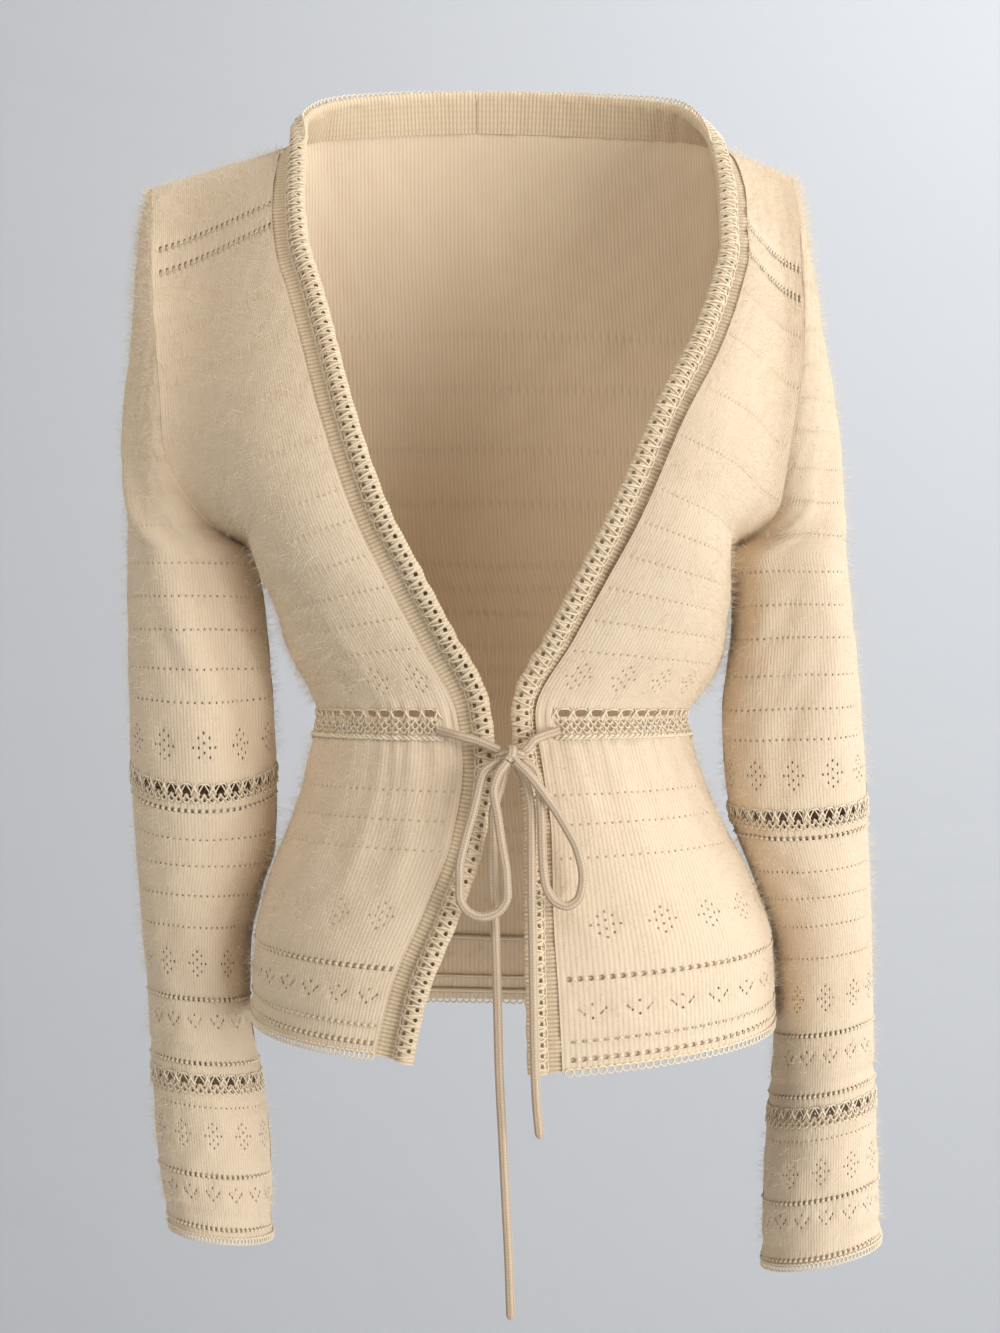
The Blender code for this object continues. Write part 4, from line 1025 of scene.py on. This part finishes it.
# Charts, as rows by level on the body and by height in millimetres on the sleeves.
silk = {"body": Strands(), "sleeve_right": Strands(), "sleeve_left": Strands(), "band": Strands()}
SHOULDER_STEP = 6
SHOULDER_BEAD = 0.45 * MM
SHOULDER_ROWS = {"front_right": (2.654, 2.585), "front_left": (2.575, 2.50)}
BODICE_PINHOLES = (1.30, 1.43, 1.57, 1.71, 1.85, 1.99, 2.09, 2.19, 2.30, 2.41)
BODICE_FLOWERS = 1.16
SKIRT_PINHOLES = (0.783, 0.693, 0.603)
SKIRT_FLOWERS = 0.41
SKIRT_EYELETS = 0.255
SKIRT_CHEVRONS = 0.15
HEM_GROOVE = 0.062
HEM_EYELETS = 0.032
HEM_BEADS = 0.088
HEM_BEAD = 0.55 * MM
GROOVE = 0.9 * MM
GROOVE_ABOVE = 0.6 * MM
WAIST_HOLE_TALL = 0.92
RING_HOLE_TALL = 1.12
RING_FROM, RING_SHARE = 0.01, 0.98
SLEEVE_TOP_GAP = 1


def chart_body(cloth, row_of, waist_middles, pitch):
    """All the holes and silky stitches of a body panel."""
    strands = silk["body"]
    for number, level in enumerate(BODICE_PINHOLES + SKIRT_PINHOLES):
        pinhole_row(cloth, row_of(level), number % 2 * 2)
    motif_row(cloth, row_of(BODICE_FLOWERS) + 1, FLOWER, FLOWER_STEP, 14)
    motif_row(cloth, row_of(SKIRT_FLOWERS), FLOWER, FLOWER_STEP, 20)
    chevron_row(cloth, row_of(SKIRT_CHEVRONS), 12)
    for level in SHOULDER_ROWS.get(cloth.name, ()):
        eyelet_row(cloth, strands, row_of(level), SHOULDER_EYELET, SHOULDER_STEP, SHOULDER_BEAD)
    eyelet_row(cloth, strands, row_of(SKIRT_EYELETS), SKIRT_EYELET)
    eyelet_row(cloth, strands, row_of(HEM_EYELETS))
    eyelet_row(cloth, strands, row_of(HEM_BEADS), HEM_EYELET, bead=HEM_BEAD)
    cloth.grooves += [(row_of(HEM_GROOVE), GROOVE), (row_of(HEM_GROOVE) + 2, GROOVE_ABOVE)]
    waist_row = row_of(1 + LACE_TALL / 2)
    lace_row(cloth, strands, waist_middles, waist_row, pitch, WAIST_HOLE_TALL, 3)
    chain(cloth, strands, math.floor(waist_row) - 5.2, 9)
    picot_edge(cloth, strands, 1.1)


def chart_sleeve(cloth, row_of, strands, heights):
    """All the holes and silky stitches of half a sleeve."""
    for number, z in enumerate(heights["pinholes"]):
        pinhole_row(cloth, row_of(z), number % 2 * 2)
    for z in heights["flowers"]:
        motif_row(cloth, row_of(z), FLOWER, FLOWER_STEP, 12)
    for z in heights["eyelets"]:
        eyelet_row(cloth, strands, row_of(z))
    for z in heights["chevrons"]:
        chevron_row(cloth, row_of(z), 10)
    for z in heights["grooves"]:
        cloth.grooves.append((row_of(z), GROOVE))
    for z, holes in heights["lace"]:
        pitch = RING_SHARE * cloth.columns / holes
        middles = np.round(RING_FROM * cloth.columns + pitch * (np.arange(holes) + 0.5))
        lace_row(cloth, strands, middles, row_of(z), pitch, RING_HOLE_TALL, 2, legs=True)
    picot_edge(cloth, strands, 1.0)


SLEEVE_CHARTS = {
    "right": dict(lace=[(-376, 14), (-560, 11)], eyelets=(-391, -512, -550, -618, -648),
                  pinholes=(-412, -430, -449, -468, -577, -71, -85, *range(-115, -316, -20), -333),
                  flowers=(-491, -594, -354), chevrons=(-530, -632), grooves=(-543, -546, -641, -644)),
    "left": dict(lace=[(-398, 14), (-578, 11)], eyelets=(-412, -533, -568, -631, -664),
                 pinholes=(-433, -450, -468, -486, -595, -76, -92, *range(-120, -341, -20), -357),
                 flowers=(-510, -613, -377), chevrons=(-549, -644), grooves=(-560, -563, -655, -658)),
}

# Body panels: the grid, the column that rows are measured along, and the lace at the waist.
# low and start are places across, share is one hole's share of the panel's own measure across.
Panel = namedtuple("Panel", "columns low measured start share holes")
FRONT = Panel(PANEL_COLUMNS, 0.0, 0.5, 0.075, 0.07, 13)
BODY_PANELS = {"front_right": FRONT, "front_left": FRONT,
               "back": Panel(BACK_COLUMNS, -1.0, 0.4, -0.99, 0.066, 30)}
panels = {}
for name, panel in BODY_PANELS.items():
    cloth, row_of = panel_cloth(name, panel.columns, panel.low, even_levels(name, panel.measured))
    cloth.through = name != "back"
    unit_columns = panel.columns / (1 - panel.low)
    middles = panel.start - panel.low + panel.share * (np.arange(panel.holes) + 0.5)
    chart_body(cloth, row_of, np.round(middles * unit_columns), panel.share * unit_columns)
    panels[name] = cloth
for half, chart in SLEEVE_CHARTS.items():
    tip, cuff = SIDES[half]["tip"], SIDES[half]["rings"][-1].z
    top = tip - SLEEVE_TOP_GAP
    heights = np.linspace(cuff, top, round((top - cuff) * MM / ROW) + 1)
    for face in ("front", "back"):
        name = "sleeve_" + half + "_" + face
        cloth, row_at = panel_cloth(name, PANEL_COLUMNS, 0.0, (heights - tip) / (cuff - tip))

        def row_of(z, row_at=row_at, tip=tip, cuff=cuff):
            return row_at((z - tip) / (cuff - tip))

        chart_sleeve(cloth, row_of, silk["sleeve_" + half], chart)
        panels[name] = cloth

# Bands: a ribbed strip and an outward roll with a zigzag of holes, and loops round the neck.
BAND_STEP = 1.2
STRIP_COLUMNS = 8
ROLL_COLUMNS = 18
ROLL_FROM, ROLL_TO = -90, 200
RIB_PITCH = 2.4
ROLL_PUFF = 0.8 * MM
TUCK = -1.2 * MM


def band_place(side, step):
    """Points and outward directions of a band: columns run over its section, rows along it."""
    def place(col, row):
        along = row * step
        base, free, out, width = band_frame(side, along)
        middle = width - ROLL_WIDE - WALL / 2
        share = np.clip((col - STRIP_COLUMNS) / ROLL_COLUMNS, 0, 1)
        turn = np.radians(ROLL_FROM + (ROLL_TO - ROLL_FROM) * share)
        rolled = share > 0
        rib = np.cos(2 * math.pi * along / RIB_PITCH) * MM
        puff = ROLL_PUFF * ease(np.clip(share * 4, 0, 1)) + 0.16 * rib * rolled
        strip_x = TUCK + (middle - TUCK) * np.clip(col / STRIP_COLUMNS, 0, 1)
        x = np.where(rolled, middle + (ROLL_WIDE + puff) * np.cos(turn), strip_x)
        y = np.where(rolled, ROLL_HIGH + (ROLL_HIGH + puff) * np.sin(turn), 0.38 * rib) - WALL / 2
        lift = np.where(rolled, np.cos(turn), 0.0)[..., None] * free
        lift = lift + np.where(rolled, np.sin(turn), 1.0)[..., None] * out
        return base + x[..., None] * free + y[..., None] * out, lift
    return place


def roll_column(degrees):
    """Column of a place on the roll by its angle."""
    return STRIP_COLUMNS + ROLL_COLUMNS * (degrees - ROLL_FROM) / (ROLL_TO - ROLL_FROM)


def band_strands(cloth, middles, cols, places, lift):
    """Silky strands on a band, one at each middle row, through columns and places along from it."""
    rows = middles[:, None] + places
    on_cloth(silk["band"], cloth, cols + 0 * rows, rows, lift * MM, STRAND)


BAND_PERIOD = 5
INNER_HOLE = (1.1, 1.25)
OUTER_HOLE = (0.95, 1.1)
ZIGZAG_LIFT = np.array([0.4, 0.8, 0.8, 0.4])
SCALLOP_ACROSS = np.array([2.6, 3.3, 3.6, 3.3, 2.6])
SCALLOP_ALONG = np.array([-2.0, -1.2, 0.5, 2.2, 3.0])
SCALLOP_LIFT = np.array([0.3, 0.9, 1.2, 0.9, 0.3])
LOOP_ALONG = np.array([0.0, 0.2, 0.9, 2.1, 2.8, 3.0])
LOOP_LIFT = np.array([0, 1.4, 2.5, 2.5, 1.4, 0])
for half in ("right", "left"):
    seam = SIDES[half]["seam"]
    rows = round(seam.knots[-1] / BAND_STEP)
    place = band_place(half, seam.knots[-1] / rows)
    cloth = Cloth("band_" + half, STRIP_COLUMNS + ROLL_COLUMNS, rows, place, 0.0)
    outer, inner = round(roll_column(75)), round(roll_column(135))
    turns = np.arange(3, rows - 5, BAND_PERIOD)
    for row in turns:
        cloth.hole(inner, row + 0.5, *INNER_HOLE)
        cloth.hole(outer, row + 3.0, *OUTER_HOLE)
    ends = np.linspace(inner + 2, outer - 2, 4)
    band_strands(cloth, turns, ends, np.linspace(-1.5, 1, 4), ZIGZAG_LIFT)
    band_strands(cloth, turns, ends[::-1], np.linspace(1, 3.5, 4), ZIGZAG_LIFT)
    band_strands(cloth, turns, inner + SCALLOP_ACROSS, SCALLOP_ALONG, SCALLOP_LIFT)
    neck = int(seam.knots[NECK_ROW - 1] / BAND_STEP)
    band_strands(cloth, np.arange(neck, rows - 4, 3.0), roll_column(35), LOOP_ALONG, LOOP_LIFT)
    panels["band_" + half] = cloth

# Flat cut of a panel: width, length and area in metres, as knitted before it is sewn. No panel is given one
# here.
Cut = namedtuple("Cut", "width length area held")

for name, cloth in panels.items():
    banded = name.startswith("band")
    piece = cloth.build(BAND_KNIT if banded else BACK_KNIT if name == "back" else KNIT)
    piece.name = name + "_knit"
    dress(piece, "band_knit" if banded else "knit", name)

for name, strands in floats.items():
    dress(strands.build("floats_" + name, KNIT), "knit")
for name, strands in silk.items():
    dress(strands.build("silk_" + name, SILK), "band_knit" if name == "band" else "knit")

# Halo of fine hairs: thin tapered ribbons that stand off the cloth and droop a little.
HALOS = {"body": {"front": 19000, "back": 19000}, "sleeves": {"sleeve": 12000}}
HAIR_LONG = 5.4 * MM
HAIR_MOST = 8.5 * MM
HAIR_WIDE = 0.15 * MM
HAIR_STAND = 0.15
TIP_SHARE = 0.3
BRUSHED_REACH = 2.2
DROOP = np.array([0, 0, -0.15])


def hair_points(cloth, count):
    """Ribbons of two cross lines each on one panel."""
    col = RANDOM.uniform(0, cloth.columns, count)
    row = RANDOM.uniform(0, cloth.rows, count)
    over = np.abs(row[:, None] - 1.0 - np.array(cloth.brushed)).min(1) < BRUSHED_REACH
    col, row = col[~over], row[~over]
    count = len(col)
    root, out = cloth.at(col, row, 0.0)
    way = unit(out * RANDOM.uniform(0.3, 1.0, (count, 1)) + RANDOM.normal(0, 0.5, (count, 3)) + DROOP)
    way -= np.minimum(np.sum(way * out, 1, keepdims=True) - HAIR_STAND, 0) * out
    long = np.minimum(HAIR_LONG * RANDOM.gamma(4.0, 0.25, (count, 1)), HAIR_MOST)
    side = HAIR_WIDE / 2 * unit(np.cross(way, RANDOM.normal(0, 1, (count, 3))))
    tip = root + way * long
    fine = TIP_SHARE * side
    return np.stack([root - side, root + side, tip + fine, tip - fine], 1)


for part, hairs in HALOS.items():
    counts = {name: hairs.get(name.split("_")[0]) for name in panels}
    ribbons = np.concatenate([hair_points(panels[name], count) for name, count in counts.items() if count])
    hair_faces = np.arange(4 * len(ribbons)).reshape(-1, 4)
    wales = np.zeros((4 * len(ribbons), 2))
    dress(new_mesh("halo_" + part, ribbons.reshape(-1, 3), hair_faces, HALO, wales), "knit")

# Stage: a pale floor and a pale plaster wall well behind, a window at the right and soft fill.
FLOOR = -1.4
WALL_BEHIND = 2.0
STAGE_HALF = 6
STAGE_TOP = 3.0


def plain_material(name, colour):
    """A matt surface with a faint trowelled relief."""
    material, tree, shader = new_material(name, {"Base Color": (*colour, 1), "Roughness": 0.95})
    noise = node(tree, "TexNoise", Scale=7.0, Detail=7.0, Distortion=1.6)
    add_relief(tree, shader, noise.outputs[0], 0.5, 0.012)
    return material


def stage_plane(name, near, far, material):
    """A flat stage piece between two lines across, each given by its depth and height."""
    corners = [(-STAGE_HALF, *near), (STAGE_HALF, *near), (STAGE_HALF, *far), (-STAGE_HALF, *far)]
    new_mesh(name, np.array(corners, float), np.array([[0, 1, 2, 3]]), material)


CORNER = (WALL_BEHIND, FLOOR)
stage_plane("floor", (-STAGE_HALF, FLOOR), CORNER, plain_material("floor_pale", (0.72, 0.72, 0.72)))
stage_plane("backdrop", CORNER, (WALL_BEHIND, STAGE_TOP), plain_material("wall_pale", (0.62, 0.64, 0.68)))


def area_light(name, place, target, size, energy, colour):
    """A soft square light that faces a point."""
    data = bpy.data.lights.new(name, "AREA")
    data.size = size
    data.energy = energy
    data.color = colour
    item = new_object(name, data)
    item.location = place
    way = np.array(target, float) - np.array(place, float)
    flat = math.hypot(way[0], way[1])
    item.rotation_euler = (math.atan2(flat, -way[2]), 0, math.atan2(-way[0], way[1]))


MIDDLE = (0.0, 0.0, -0.33)
area_light("window", (1.9, -1.7, -0.32), MIDDLE, 1.6, 50, (1.0, 1.0, 0.99))
area_light("fill", (-1.1, -1.3, 1.1), (-0.15, 0.0, -0.1), 1.3, 18, (1.0, 0.95, 0.88))
area_light("wall_wash", (1.6, 0.4, 1.6), (0.0, WALL_BEHIND, -0.55), 1.5, 50, (0.97, 0.99, 1.0))
sky = bpy.data.worlds.new("sky")
sky.use_nodes = True
glow = sky.node_tree.nodes["Background"]
glow.inputs["Color"].default_value = (1.0, 0.96, 0.90, 1)
glow.inputs["Strength"].default_value = 0.22
bpy.context.scene.world = sky
bpy.context.scene.view_settings.view_transform = "Standard"
